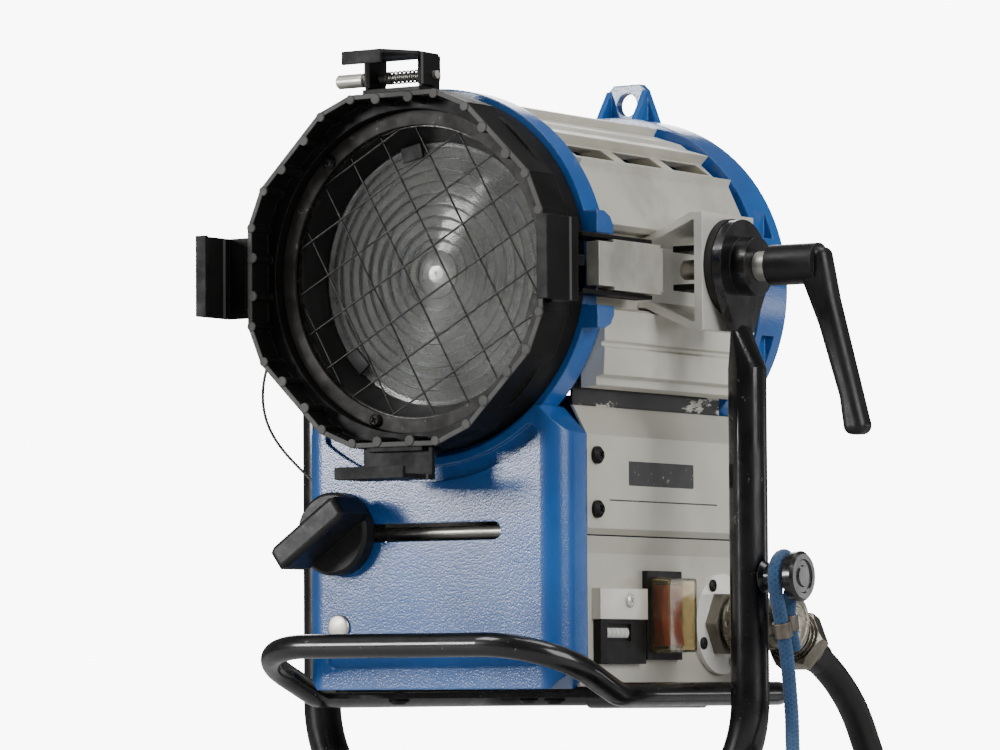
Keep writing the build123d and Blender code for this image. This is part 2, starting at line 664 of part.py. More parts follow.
def ear():
    """An accessory ear on the right: foot, web, standing plate, ribbed bend and front lip."""
    foot = box((DOOR_FLAT, DOOR_FLAT + 2.2), (-19, -2.2), (-16, 16))
    web = box((DOOR_FLAT, EAR_REACH), (-16.2, -13.7), (-20, 20))
    stand = box((EAR_REACH - 2.4, EAR_REACH), (EAR_FRONT, -13.7), (-20, 20))
    lip = box((EAR_REACH - 6, EAR_REACH), (EAR_FRONT, EAR_FRONT + 2.2), (-20, 20))
    rib = plate("z", [(93, -13.8), (EAR_REACH - 0.1, -13.8), (EAR_REACH - 0.1, -8)], (-2.5, 2.5))
    return foot + web + stand + lip + rib


def wire_guard():
    """A square mesh of round wires in a thin rim."""
    pitch, wire = 20.0, 0.5
    solid = tube("y", 73.4, 71.4, (2.4, 4.6))
    for layer, turn in ((3.2, 29), (4.0, 119)):
        for i in range(-3, 4):
            offset = (i + 0.35) * pitch
            if abs(offset) > 70:
                continue
            reach = sqrt(72.4**2 - offset**2)
            solid += around_y(rod("x", wire, (-reach, reach), layer, offset), turn)
    return solid


def lens():
    """A fresnel lens: flat behind, with a bull's eye and ring prisms in front."""
    back, rim, r_out = 26.4, 19.4, 64.9
    points = [(back, 0), (back, r_out), (rim, r_out)]
    zones = 9
    for zone in range(zones, 0, -1):
        inner = 12 + (r_out - 2 - 12) * (zone - 1) / zones
        outer = 12 + (r_out - 2 - 12) * zone / zones
        points += [(rim + 1.2, outer), (rim - 1.4, inner)]
    points += [(rim + 0.6, 12), (rim - 0.6, 8), (rim - 1.2, 4), (rim - 1.4, 0)]
    return turned("y", points)


def lens_seat():
    profile = [(5, 73.8), (30, 73.8), (30, 61.5), (26.5, 61.5), (26.5, 65.3), (18, 65.3), (5, 71.5)]
    return turned("y", profile)


def make_door():
    add("door_frame", door_frame(), HEAD)
    ring = tube("y", 79.2, 72, (0, 1.5))
    screws = []
    for angle in (132, 252, 12):
        ring -= around_y(rod("y", 1.6, (-1, 3), 75.8, 0), angle)
        screws.append(around_y(Pos(75.8, 0, 0) * facing(screw(3.3, 2.2, 1.5, 10), "-y"), angle))
    add("lens_ring", ring, HEAD)
    add("ring_screws", Compound(screws), HEAD)
    add("wire_guard", wire_guard(), HEAD)
    add("lens", lens(), HEAD)
    clips = [around_y(box((58, 65.2), (16.4, 18), (-6, 6)), angle) for angle in (222, 342, 102)]
    add("lens_seat", Compound([lens_seat()] + clips), HEAD)
    add("accessory_ears", Compound([ear(), mirrored(ear()), around_y(ear(), 270)]), HEAD)
    add("hinge_pin", rod("z", 2.5, (-31, 31), HINGE_X, HINGE_Y), HEAD)


def catch_base():
    """The U-shaped bracket on the door's top flat."""
    solid = box((-17, 16.3), (-20, -2.2), (DOOR_FLAT, 88.4))
    for x in ((-17, -15.2), (14.5, 16.3)):
        solid += rod("x", 7.8, x, CATCH_Y, CATCH_Z) + box(x, (CATCH_Y - 7.8, CATCH_Y + 7.8), (88, CATCH_Z))
    return solid - rod("x", 2.05, (-20, 20), CATCH_Y, CATCH_Z)


def catch_flap():
    """The top accessory retainer: lip, sloping top plate and two side plates."""
    top = plate("z", [(-14.7, EAR_FRONT), (8, EAR_FRONT), (18.4, -24), (18.4, -6), (-14.7, -6)], (103.2, 105))
    lip = box((-14.7, 8), (EAR_FRONT, EAR_FRONT + 1.8), (98.5, 105))
    solid = top + lip
    for x in ((-14.7, -13.2), (16.7, 18.4)):
        solid += box(x, (-22, CATCH_Y), (89.2, 104)) + rod("x", 5.7, x, CATCH_Y, CATCH_Z)
        solid += box(x, (CATCH_Y, -4.6), (CATCH_Z, 104))
    return solid - rod("x", 2.05, (-20, 20), CATCH_Y, CATCH_Z)


def catch_button():
    """The spring-loaded rod; its thick end is the push button."""
    profile = [(-38, 0), (-38, 2.9), (-37.3, 3.5), (-22.5, 3.5), (-22.5, 2), (20.5, 2), (20.5, 0)]
    solid = Pos(0, CATCH_Y, CATCH_Z) * turned("x", profile)
    return solid + rod("x", 3.2, (-9, -8), CATCH_Y, CATCH_Z)


def latch_bracket():
    """The black channel on the door that carries the latch over the front ring."""
    solid = box((86.7, 89.4), (-1.9, 7), (-14.6, 14.6))
    for z in ((12.7, 14.6), (-14.6, -12.7)):
        solid += box((87.4, 97.6), (-1.9, 62), z)
    solid -= rod("y", 88, (-2, 16))
    x, y = LATCH_PIN
    return solid - rod("z", 1.5, (-20, 20), x, y)


def latch_plate():
    """The latch lever: face plate, two side plates and the nose at its rear end."""
    x, y = LATCH_PIN
    solid = box((98.6, 100.2), (10, 68), (-10.7, 10.7)) + box((93, 100.2), (9, 10.6), (-10.7, 10.7))
    solid += box((88.6, 100.2), (66.4, 68), (-10.7, 10.7))
    for z in ((10.7, 12.2), (-12.2, -10.7)):
        side = box((90.5, 100.2), (23, 66), z)
        for tooth in (38, 46, 54):
            side -= box((90, 92.5), (tooth, tooth + 4), z)
        solid += side
    return solid - rod("z", 1.55, (-20, 20), x, y)


def make_catches():
    x, y = LATCH_PIN
    add("catch_base", catch_base(), HEAD)
    add("catch_flap", catch_flap(), HEAD)
    add("catch_button", catch_button(), HEAD)
    add("catch_spring", coil_spring((-7.9, 14.3), 2.9, 0.4, 9), HEAD * Pos(0, CATCH_Y, CATCH_Z))
    pin = rod("z", 1.5, (-14.6, 14.6), x, y)
    add("latch_bracket", Compound([latch_bracket(), pin]), HEAD)
    add("latch_plate", latch_plate(), HEAD)


# ---------------------------------------------------------------- cable, coil and cords

CABLE_ROUTE = [
    (104.5, 96.8, 112.8), (104.5, 107.7, 108.4), (104.5, 123.6, 99.8), (104.5, 139.1, 88.3),
    (104.6, 150.2, 75.8), (105.0, 159.6, 59.5), (109.7, 169.1, 34.8), (117.6, 172.8, 9.4),
    (128.5, 169.8, -14.9), (141.0, 160.9, -37.1), (153.5, 147.9, -57.1), (165.5, 132.5, -76.0),
    (175.5, 115.8, -94.8), (181.4, 99.1, -114.6), (182.8, 84.2, -136.4),
]
TAIL_ROUTE = [(137.2, 99.2, -80.0), (134.2, 99.6, -101.0), (128.6, 100.8, -122.0)]
CORD_ROUTE = [
    (144.0, 15.5, 112.0), (144.0, 11.2, 120.5), (144.3, 9.0, 130.0), (145.5, 9.8, 141.6),
    (146.6, 9.96, 153.25), (147.3, 0.0, 159.0), (147.6, -9.96, 153.25), (148.0, -10.4, 141.5),
    (148.5, -6.2, 128.0), (148.5, -2.0, 115.5), (149.2, -0.2, 103.0), (150.0, 0.2, 90.0),
    (151.2, -0.4, 79.0), (154.4, -5.8, 65.5), (158.8, -12.6, 56.5),
]
WIRE_ROUTE = [
    (-99.0, -82.0, 265.4), (-105.0, -81.2, 254.5), (-108.6, -79.4, 239.5), (-106.4, -77.6, 226.0),
    (-99.6, -75.0, 214.4), (-90.4, -72.8, 204.8), (-82.0, -71.4, 197.2), (-77.2, -70.8, 193.2),
]


def bend_radii(route):
    """For each corner: 0.45 of the shorter run over the tangent of half the turn."""
    runs = [Vector(*b) - Vector(*a) for a, b in zip(route, route[1:])]
    made = []
    for before, after in zip(runs, runs[1:]):
        turn = radians(before.get_angle(after))
        made.append(0.45 * min(before.length, after.length) / tan(turn / 2))
    return made


def cord(name, route, r):
    """A round cord of straight runs and tangent arcs, with its radii printed."""
    radii = bend_radii(route)
    path = FilletPolyline(*route, radius=radii)
    solid = sweep(Plane(path @ 0, z_dir=path % 0) * Circle(r), path)
    print(name, "length", round(path.length, 1), "radii", [round(a, 1) for a in radii],
          "volume share", round(solid.volume / (pi * r * r * path.length), 4))
    return solid


def cable_coil():
    """The outer shape of the wound cable: a ring with a rounded rectangular section."""
    wide = COIL_LAYERS * TURN_STEP + 0.4
    deep = COIL_ROWS * TURN_STEP + 0.4
    section = Plane.XY * Pos(0, COIL_MID_R) * RectangleRounded(wide, deep, 6)
    return Pos(*COIL_CENTRE) * revolve(section, Axis.X, 360)


def coil_strap():
    """A band round the coil's top, with the ring that the tie cord holds."""
    wide = COIL_LAYERS * TURN_STEP / 2 + 0.8
    deep = COIL_ROWS * TURN_STEP / 2 + 0.8
    low = deep + 0.9
    x, y, z = COIL_CENTRE
    top = z + COIL_MID_R
    outer = box((x - wide - 1.8, x + wide + 1.8), (y - 11, y + 11), (top - low - 1.8, top + deep + 1.8))
    inner = box((x - wide, x + wide), (y - 12, y + 12), (top - low, top + deep))
    ring = Pos(x, y, top + deep + 8.2) * Rot(0, 90, 0) * Torus(6, 1.6)
    return outer - inner + ring


def far_plug():
    """The connector at the cable's other end, hanging beside the coil."""
    profile = [(-92, 0), (-92, 13), (-90, 14), (-72, 14), (-70, 15.6), (-40, 15.6), (-38, 13.5)]
    profile += [(-26, 13.5), (-24, 11), (-8, 8.6), (0, 8.2), (0, 0)]
    end = Vector(*TAIL_ROUTE[-1])
    away = (Vector(*TAIL_ROUTE[-1]) - Vector(*TAIL_ROUTE[-2])).normalized()
    solid = turned("z", profile) - rod("z", 11.5, (-93, -74))
    return Plane(end, z_dir=away * -1).location * solid


def ferrules():
    """Two crimps on the tie cord, each along its own strand."""
    made = []
    for a, b in ((1, 2), (8, 9)):
        start, stop = Vector(*CORD_ROUTE[a]), Vector(*CORD_ROUTE[b])
        middle, way = (start + stop) * 0.5, (stop - start).normalized()
        made.append(Plane(middle, z_dir=way).location * (Cylinder(4.6, 7.6) - Cylinder(CORD_R, 9)))
    return Compound(made)


def make_cords():
    add("cable_run", cord("cable_run", CABLE_ROUTE, CABLE_R))
    add("cable_coil", cable_coil())
    add("cable_tail", cord("cable_tail", TAIL_ROUTE, CABLE_R))
    add("coil_strap", coil_strap())
    add("far_plug", far_plug())
    add("tie_cord", cord("tie_cord", CORD_ROUTE, CORD_R))
    add("tie_ferrules", ferrules())
    add("door_wire", cord("door_wire", WIRE_ROUTE, 0.8))


make_stirrup_side()
make_housing()
make_screws()
make_controls()
make_connector()
make_inside()
make_door()
make_catches()
make_cords()
os.makedirs("parts", exist_ok=True)
for name, solid in parts.items():
    export_step(solid, f"parts/{name}.step")
print(len(parts), "nodes")
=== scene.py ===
from math import ceil, cos, pi, radians, sin

import bmesh
import bpy
from mathutils import Matrix, Vector


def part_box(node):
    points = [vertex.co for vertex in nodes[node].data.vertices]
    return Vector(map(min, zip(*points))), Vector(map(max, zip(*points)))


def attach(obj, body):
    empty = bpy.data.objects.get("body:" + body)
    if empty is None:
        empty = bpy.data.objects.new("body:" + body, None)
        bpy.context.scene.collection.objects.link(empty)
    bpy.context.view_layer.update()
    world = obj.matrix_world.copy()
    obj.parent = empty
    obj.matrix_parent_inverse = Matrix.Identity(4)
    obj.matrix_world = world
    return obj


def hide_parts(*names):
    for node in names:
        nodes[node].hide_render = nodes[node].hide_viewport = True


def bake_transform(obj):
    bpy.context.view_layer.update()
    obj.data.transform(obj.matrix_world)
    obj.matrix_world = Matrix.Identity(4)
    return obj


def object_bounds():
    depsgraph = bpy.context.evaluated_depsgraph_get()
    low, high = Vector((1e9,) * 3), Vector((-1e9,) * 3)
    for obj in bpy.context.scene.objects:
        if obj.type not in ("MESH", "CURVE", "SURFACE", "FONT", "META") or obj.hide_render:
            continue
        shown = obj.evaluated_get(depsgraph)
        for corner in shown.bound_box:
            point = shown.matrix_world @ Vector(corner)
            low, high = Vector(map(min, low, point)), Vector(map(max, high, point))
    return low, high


# Looks for a fresnel spotlight in its stirrup: camera and cords first, then the materials of
# every CAD node, then the small pieces that only the visual model has. Metres, +Z up.

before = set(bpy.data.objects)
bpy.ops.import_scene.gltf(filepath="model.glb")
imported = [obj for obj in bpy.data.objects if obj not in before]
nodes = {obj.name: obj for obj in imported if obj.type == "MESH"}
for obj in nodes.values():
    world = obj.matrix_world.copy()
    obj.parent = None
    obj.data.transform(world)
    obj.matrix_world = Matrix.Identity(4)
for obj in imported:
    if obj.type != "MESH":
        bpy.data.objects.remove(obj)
cad_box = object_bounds()
MM = 0.001

RING_LO, RING_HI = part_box("lens_ring")
HEAD_ORIGIN = Vector((0, RING_LO.y, (RING_LO.z + RING_HI.z) / 2))  # on the optical axis

# Places on the lamp head, in its own millimetres
CASTING_FRONT_Y = -19.8
FLANGE_Z = (-66.2, -65.9)  # where the side panels' folded top edges begin; painted shade above, under the shell
PANEL_FACE_X = (75.6, 75.8)
RULE_Y, RULE_Z = (56, 159), (-112.4, -111.7)
BAR_Y, BAR_Z = (74, 136), (-104.5, -92.5)
BRONZE_FROM = (0.01685, 0.01695)  # metres out from the inlet's flange
FIRST_WHEEL, WHEEL_PITCH, WHEELS = (71.2, 57.2, -176.8), 4.0, 5
FRONT_PLUG = (-54, 11.5, -173)
PLUG_ELBOW = (104.5, 167, -171.8)
SIDE_SCREW_X, SIDE_SCREW_Y, SIDE_SCREW_Z = 76, (43.5, 186), (-90.5, -116.8)
REAR_SCREW_X, REAR_SCREW_Y, REAR_SCREW_Z = (-56, 56), 207.6, (-80, -186)


def row(points):
    """Points in the row's millimetres, as vectors in metres."""
    return [Vector(p) * MM for p in points]


def head(x, y, z):
    """A point in the lamp head's own millimetres, in the row frame."""
    return HEAD_ORIGIN + Vector((x, y, z)) * MM


def head_ys(ys):
    """Places along the head's own Y, on the row frame's Y in metres."""
    return [head(0, y, 0).y for y in ys]


def head_zs(zs):
    """Heights on the head, on the row frame's Z in metres."""
    return [head(0, 0, z).z for z in zs]


# ---------------------------------------------------------------- camera

CAMERA_PLACE = Vector((1.4331, -2.2383, 0.0941))
YAW, PITCH, ROLL = radians(32.941), radians(3.393), radians(-0.362)
FOCAL_LENGTH = 190.04
SENSOR = 36.0
CLIP = (0.1, 40)


def make_camera():
    forward = Vector((-sin(YAW) * cos(PITCH), cos(YAW) * cos(PITCH), sin(PITCH)))
    level = Vector((cos(YAW), sin(YAW), 0))
    upright = level.cross(forward)
    right = level * cos(ROLL) + upright * sin(ROLL)
    up = upright * cos(ROLL) - level * sin(ROLL)
    matrix = Matrix((right, up, -forward)).transposed().to_4x4()
    matrix.translation = CAMERA_PLACE
    data = bpy.data.cameras.new("view")
    data.lens = FOCAL_LENGTH
    data.sensor_width = SENSOR
    data.clip_start, data.clip_end = CLIP
    camera = bpy.data.objects.new("view", data)
    bpy.context.scene.collection.objects.link(camera)
    camera.matrix_world = matrix
    bpy.context.scene.camera = camera


make_camera()

# ---------------------------------------------------------------- cord routes, row millimetres

CABLE_ROUTE = [
    (104.5, 96.8, 112.8), (104.5, 107.7, 108.4), (104.5, 123.6, 99.8), (104.5, 139.1, 88.3),
    (104.6, 150.2, 75.8), (105.0, 159.6, 59.5), (109.7, 169.1, 34.8), (117.6, 172.8, 9.4),
    (128.5, 169.8, -14.9), (141.0, 160.9, -37.1), (153.5, 147.9, -57.1), (165.5, 132.5, -76.0),
    (175.5, 115.8, -94.8), (181.4, 99.1, -114.6),
]
TAIL_ROUTE = [(134.2, 99.6, -101.0), (128.6, 100.8, -122.0)]
CORD_ROUTE = [
    (144.0, 15.5, 112.0), (144.0, 11.2, 120.5), (144.3, 9.0, 130.0), (145.5, 9.8, 141.6),
    (146.6, 9.96, 153.25), (147.3, 0.0, 159.0), (147.6, -9.96, 153.25), (148.0, -10.4, 141.5),
    (148.5, -6.2, 128.0), (148.5, -2.0, 115.5), (149.2, -0.2, 103.0), (150.0, 0.2, 90.0),
    (151.2, -0.4, 79.0), (154.4, -5.8, 65.5), (158.8, -12.6, 56.5),
]
WIRE_ROUTE = [
    (-99.0, -82.0, 265.4), (-105.0, -81.2, 254.5), (-108.6, -79.4, 239.5), (-106.4, -77.6, 226.0),
    (-99.6, -75.0, 214.4), (-90.4, -72.8, 204.8), (-82.0, -71.4, 197.2), (-77.2, -70.8, 193.2),
]
CABLE_R, CABLE_LENGTH = 7.5, 7.70  # radius in millimetres, length in metres
CORD_R, CORD_LENGTH = 3.5, 0.165
WIRE_R, WIRE_LENGTH = 0.8, 0.086
COIL_CENTRE = (160.0, -14.0, -80.0)
COIL_LAYERS = (182.8, 167.6, 152.4, 137.2)  # each layer's place on X
COIL_ROWS = (113.2, 98.0, 82.8)  # turn radii from the outside in
COIL_START = -30.0  # degrees from +Y towards +Z, where the cable comes in
COIL_TURN = 4290.0  # degrees wound, downwards at the rear
POINTS_PER_TURN = 16
CHANGE_OVER = 0.2  # the last share of a turn, which eases into the next


def smooth(t):
    t = min(1.0, max(0.0, t))
    return t * t * (3 - 2 * t)


def coil_route():
    """The wound length: full turns side by side, each easing into the next near its end."""
    cells = []
    for layer, x in enumerate(COIL_LAYERS):
        rows = COIL_ROWS if layer % 2 == 0 else COIL_ROWS[::-1]
        cells += [(x, r) for r in rows]
    steps = ceil(COIL_TURN / 360 * POINTS_PER_TURN)
    widen = 1 / cos(pi / POINTS_PER_TURN)  # the spline touches the middle of its runs
    points = []
    for step in range(steps + 1):
        wound = COIL_TURN * step / steps / 360
        turn = min(int(wound), len(cells) - 1)
        after = cells[min(turn + 1, len(cells) - 1)]
        ease = smooth((wound - turn - 1 + CHANGE_OVER) / CHANGE_OVER)
        x = cells[turn][0] * (1 - ease) + after[0] * ease
        r = (cells[turn][1] * (1 - ease) + after[1] * ease) * widen
        angle = radians(COIL_START - wound * 360)
        points.append((x, COIL_CENTRE[1] + r * cos(angle), COIL_CENTRE[2] + r * sin(angle)))
    return points


def link(name, data):
    made = bpy.data.objects.new(name, data)
    bpy.context.scene.collection.objects.link(made)
    return made


def centre_line(points):
    """Points along the one NURBS spline whose control points are given."""
    curve = bpy.data.curves.new("route", "CURVE")
    curve.dimensions = "3D"
    spline = curve.splines.new("NURBS")
    spline.points.add(len(points) - 1)
    for point, place in zip(spline.points, points):
        point.co = (*place, 1)
    spline.order_u = 3
    spline.use_endpoint_u = True
    spline.resolution_u = 6
    made = link("route", curve)
    bpy.context.view_layer.update()
    mesh = bpy.data.meshes.new_from_object(made)
    line = [vertex.co.copy() for vertex in mesh.vertices]
    bpy.data.objects.remove(made)
    bpy.data.meshes.remove(mesh)
    bpy.data.curves.remove(curve)
    return line


def resampled(line, step):
    """The same line with points an even step apart."""
    lengths = [0.0]
    for a, b in zip(line, line[1:]):
        lengths.append(lengths[-1] + (b - a).length)
    count = max(2, round(lengths[-1] / step))
    made, at = [], 0
    for i in range(count + 1):
        want = lengths[-1] * i / count
        while at < len(line) - 2 and lengths[at + 1] < want:
            at += 1
        span = lengths[at + 1] - lengths[at]
        share = (want - lengths[at]) / span if span else 0
        made.append(line[at].lerp(line[at + 1], min(1.0, max(0.0, share))))
    return made


def mesh_object(name, vertices, faces, smooth_faces=True):
    mesh = bpy.data.meshes.new(name)
    mesh.from_pydata(vertices, [], faces)
    mesh.validate()
    if smooth_faces:
        mesh.shade_smooth()
    return link(name, mesh)


def swept(name, line, radius, sides, relief=None):
    """A tube round a line; relief(travelled, angle) gives its height and share of the radius."""
    along = (line[1] - line[0]).normalized()
    across = along.cross(Vector((0.31, 0.22, 0.92))).normalized()
    vertices, heights, travelled = [], [], 0.0
    for i, centre in enumerate(line):
        after, before = line[min(i + 1, len(line) - 1)], line[max(i - 1, 0)]
        tangent = (after - before).normalized()
        across = (across - tangent * across.dot(tangent)).normalized()
        third = tangent.cross(across)
        if i:
            travelled += (centre - line[i - 1]).length
        for side in range(sides):
            angle = 2 * pi * side / sides
            height, share = relief(travelled, angle) if relief else (1.0, 1.0)
            heights.append(height)
            vertices.append(centre + (across * cos(angle) + third * sin(angle)) * radius * share)
    faces = []
    for i in range(len(line) - 1):
        for side in range(sides):
            a, b = i * sides + side, i * sides + (side + 1) % sides
            faces.append((a, b, b + sides, a + sides))
    faces.append(tuple(reversed(range(sides))))
    faces.append(tuple(range(len(vertices) - sides, len(vertices))))
    made = mesh_object(name, vertices, faces)
    layer = made.data.attributes.new("height", "FLOAT", "POINT")
    layer.data.foreach_set("value", heights)
    return made


BRAID_PITCH, ROPE_PITCH = 0.0078, 0.006


def braid(travelled, angle):
    """Two crossing sets of strands, as the height and the share of the full radius."""
    twist = 2 * pi * travelled / BRAID_PITCH
    crest = max(cos(6 * angle + 3 * twist), cos(6 * angle - 3 * twist))
    height = 0.5 + 0.5 * crest
    return height, 0.93 + 0.08 * height


def rope(travelled, angle):
    """Three twisted strands."""
    height = abs(cos(1.5 * (angle + 2 * pi * travelled / ROPE_PITCH)))
    return height, 0.72 + 0.28 * height


def make_cords():
    """The feeder with its coil, the tie cord and the door's wire, each on one spline."""
    made = {}
    cable_line = centre_line(row(CABLE_ROUTE + coil_route() + TAIL_ROUTE))
    cable = swept("feeder_cable", cable_line, CABLE_R * MM, 20)
    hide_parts("cable_run", "cable_coil", "cable_tail")
    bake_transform(cable)
    made["cable"] = (cable, cable_line)
    cord_line = resampled(centre_line(row(CORD_ROUTE)), 0.0006)
    cord = swept("tie_cord_braid", cord_line, CORD_R * MM, 36, braid)
    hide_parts("tie_cord")
    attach(cord, "stirrup")
    made["cord"] = (cord, cord_line)
    wire_line = resampled(centre_line(row(WIRE_ROUTE)), 0.0007)
    wire = swept("door_wire_rope", wire_line, WIRE_R * MM, 12, rope)
    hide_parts("door_wire")
    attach(wire, "head")
    made["wire"] = (wire, wire_line)
    return made


cords = make_cords()

# ---------------------------------------------------------------- material building blocks


class Shader:
    """A node tree with one Principled shader, and short ways to add nodes to it."""

    def __init__(self, name):
        self.material = bpy.data.materials.new(name)
        self.material.use_nodes = True
        self.tree = self.material.node_tree
        self.tree.nodes.clear()
        self.output = self.node("OutputMaterial")
        self.skin = self.node("BsdfPrincipled")
        self.tree.links.new(self.skin.outputs[0], self.output.inputs["Surface"])
        self.place = self.node("TexCoord").outputs["Object"]

    def node(self, kind, inputs=None, **settings):
        made = self.tree.nodes.new("ShaderNode" + kind)
        for key, value in settings.items():
            setattr(made, key, value)
        for key, value in (inputs or {}).items():
            self.feed(made.inputs[key], value)
        return made

    def feed(self, socket, value):
        if isinstance(value, bpy.types.NodeSocket):
            self.tree.links.new(value, socket)
        elif isinstance(value, tuple) and len(value) == 3 and socket.type == "RGBA":
            socket.default_value = (*value, 1)
        else:
            socket.default_value = value

    def set(self, **inputs):
        for key, value in inputs.items():
            self.feed(self.skin.inputs[key.replace("_", " ")], value)

    def math(self, operation, a, b=0.0, clamp=False):
        made = self.node("Math", {0: a, 1: b}, operation=operation, use_clamp=clamp)
        return made.outputs[0]

    def stretch(self, scale):
        return self.node("Mapping", {"Vector": self.place, "Scale": scale}).outputs[0]

    def noise(self, scale, detail=3.0, rough=0.55, stretch=None):
        where = self.stretch(stretch) if stretch else self.place
        values = {"Vector": where, "Scale": scale, "Detail": detail, "Roughness": rough}
        return self.node("TexNoise", values).outputs[0]

    def cells(self, scale):
        return self.node("TexVoronoi", {"Vector": self.place, "Scale": scale}).outputs["Distance"]

    def ramp(self, value, low, high, to_low=0.0, to_high=1.0):
        values = {"Value": value, "From Min": low, "From Max": high, "To Min": to_low, "To Max": to_high}
        return self.node("MapRange", values, interpolation_type="SMOOTHSTEP").outputs[0]

    def mix(self, share, a, b):
        made = self.node("Mix", data_type="RGBA")
        self.feed(made.inputs[0], share)
        self.feed(made.inputs[6], a)
        self.feed(made.inputs[7], b)
        return made.outputs[2]

    def rounded(self, radius):
        return self.node("Bevel", {"Radius": radius}, samples=4).outputs[0]

    def edges(self, rounded):
        """Near 1 on the sharp edges, from how far the rounded normal leans."""
        flat = self.node("NewGeometry").outputs["Normal"]
        lean = self.node("VectorMath", {0: rounded, 1: flat}, operation="DOT_PRODUCT")
        return self.ramp(self.math("SUBTRACT", 1.0, lean.outputs["Value"]), 0.015, 0.16)

    def axis(self, name):
        parts = self.node("SeparateXYZ", {0: self.place})
        return parts.outputs["XYZ".index(name)]

    def between(self, value, low, high, soft=0.0002):
        """1 inside a range of places, with a soft border."""
        above = self.ramp(value, low - soft, low + soft)
        below = self.ramp(value, high - soft, high + soft, 1.0, 0.0)
        return self.math("MULTIPLY", above, below)

    def bump(self, height, strength, distance, normal=None):
        values = {"Height": height, "Strength": strength, "Distance": distance}
        if normal:
            values["Normal"] = normal
        return self.node("Bump", values).outputs[0]


def surface(name, base, shade, metal=0.0, rough=(0.3, 0.5), mottle=25.0, grain=900.0,
            relief=(0.25, 0.0002), stretch=None, edge=None, edge_share=0.8, edge_radius=0.0007,
            chips=None, chip_level=0.7, chip_scale=160.0, dirt=None, coat=0.0, specular=0.5):
    """A solid finish: two tones, a grain, rounded edges that wear, chips and dirt."""
    made = Shader(name)
    tone = made.ramp(made.noise(mottle, 4.0), 0.35, 0.65)
    colour = made.mix(tone, shade, base)
    if dirt:
        stains = made.ramp(made.noise(mottle * 0.6, 6.0, 0.7), 0.52, 0.75, 0.0, 0.55)
        colour = made.mix(stains, colour, dirt)
    texture = made.noise(grain, 4.0, 0.6, stretch)
    gloss = made.ramp(made.noise(mottle * 2.2, 5.0, 0.65), 0.3, 0.7, rough[0], rough[1])
    rounded = made.rounded(edge_radius)
    if edge:
        ragged = made.ramp(made.noise(330.0, 4.0, 0.7), 0.38, 0.56)
        worn = made.math("MULTIPLY", made.edges(rounded), ragged)
        worn = made.math("MULTIPLY", worn, edge_share)
        colour = made.mix(worn, colour, edge)
        gloss = made.math("ADD", gloss, made.math("MULTIPLY", worn, 0.12), clamp=True)
    height = texture
    if chips:
        gone = made.ramp(made.noise(chip_scale, 5.0, 0.72), chip_level, chip_level + 0.02)
        colour = made.mix(gone, colour, chips)
        height = made.math("SUBTRACT", texture, gone)
    made.set(Base_Color=colour, Metallic=metal, Roughness=gloss, Coat_Weight=coat)
    made.skin.inputs["Specular IOR Level"].default_value = specular
    made.set(Normal=made.bump(height, relief[0], relief[1], rounded))
    return made


def hammered(name, base, shade, edge, chips):
    """Hammer-finish enamel: craters and wrinkles under a clear gloss, worn at its edges."""
    made = surface(name, base, shade, 0.0, (0.4, 0.55), 14.0, 520.0, edge=edge, edge_share=0.7,
                   edge_radius=0.0012, chips=chips, chip_level=0.735, chip_scale=210.0, specular=0.3)
    craters = made.ramp(made.cells(850.0), 0.08, 0.6)
    height = made.math("ADD", craters, made.math("MULTIPLY", made.noise(1200.0, 2.0), 1.3))
    normal = made.bump(height, 0.26, 0.00011, made.rounded(0.0012))
    made.set(Normal=normal, Coat_Normal=normal, Coat_Weight=1.0, Coat_Roughness=0.2)
    return made


# ---------------------------------------------------------------- materials


def make_blue():
    return hammered("blue_enamel", (0.0045, 0.09, 0.33), (0.0035, 0.066, 0.255),
                    (0.03, 0.15, 0.32), (0.035, 0.036, 0.04))


def make_black_cast():
    """Satin black casting, rubbed grey on its front edge."""
    made = surface("black_cast", (0.0035, 0.0032, 0.003), (0.006, 0.0057, 0.0054), 0.0, (0.42, 0.58),
                   30.0, 1100.0, (0.22, 0.00015), edge=(0.1, 0.097, 0.09), edge_share=0.45,
                   chips=(0.05, 0.047, 0.043), chip_level=0.75, specular=0.16)
    front = head(0, CASTING_FRONT_Y, 0).y
    rubbed = made.math("MULTIPLY", made.between(made.axis("Y"), front - 0.0018, front + 0.0002), 0.85)
    colour = made.skin.inputs["Base Color"].links[0].from_socket
    made.set(Base_Color=made.mix(rubbed, colour, (0.085, 0.084, 0.08)))
    return made


def make_glossy_black(name, chips=(0.1, 0.09, 0.078)):
    """Old gloss paint: chips down to brown metal, and long smudges in the shine."""
    made = surface(name, (0.003, 0.003, 0.0032), (0.006, 0.0055, 0.0055), 0.0, (0.25, 0.45), 40.0,
                   260.0, (0.16, 0.0002), edge=(0.1, 0.095, 0.09), edge_share=0.4,
                   chips=chips, chip_level=0.66, chip_scale=150.0, coat=0.65, specular=0.25)
    smudge = made.ramp(made.noise(90.0, 5.0, 0.7, (1, 1, 0.25)), 0.35, 0.7, 0.05, 0.24)
    made.set(Coat_Roughness=smudge)
    return made


def make_shell():
    """Extruded aluminium with faint drawing lines along Y."""
    return surface("extruded_shell", (0.62, 0.6, 0.53), (0.55, 0.53, 0.465), 0.35, (0.34, 0.46),
                   12.0, 1500.0, (0.12, 0.0001), stretch=(1, 0.03, 1), edge=(0.7, 0.69, 0.66),
                   edge_share=0.6, edge_radius=0.0009, dirt=(0.2, 0.18, 0.15))


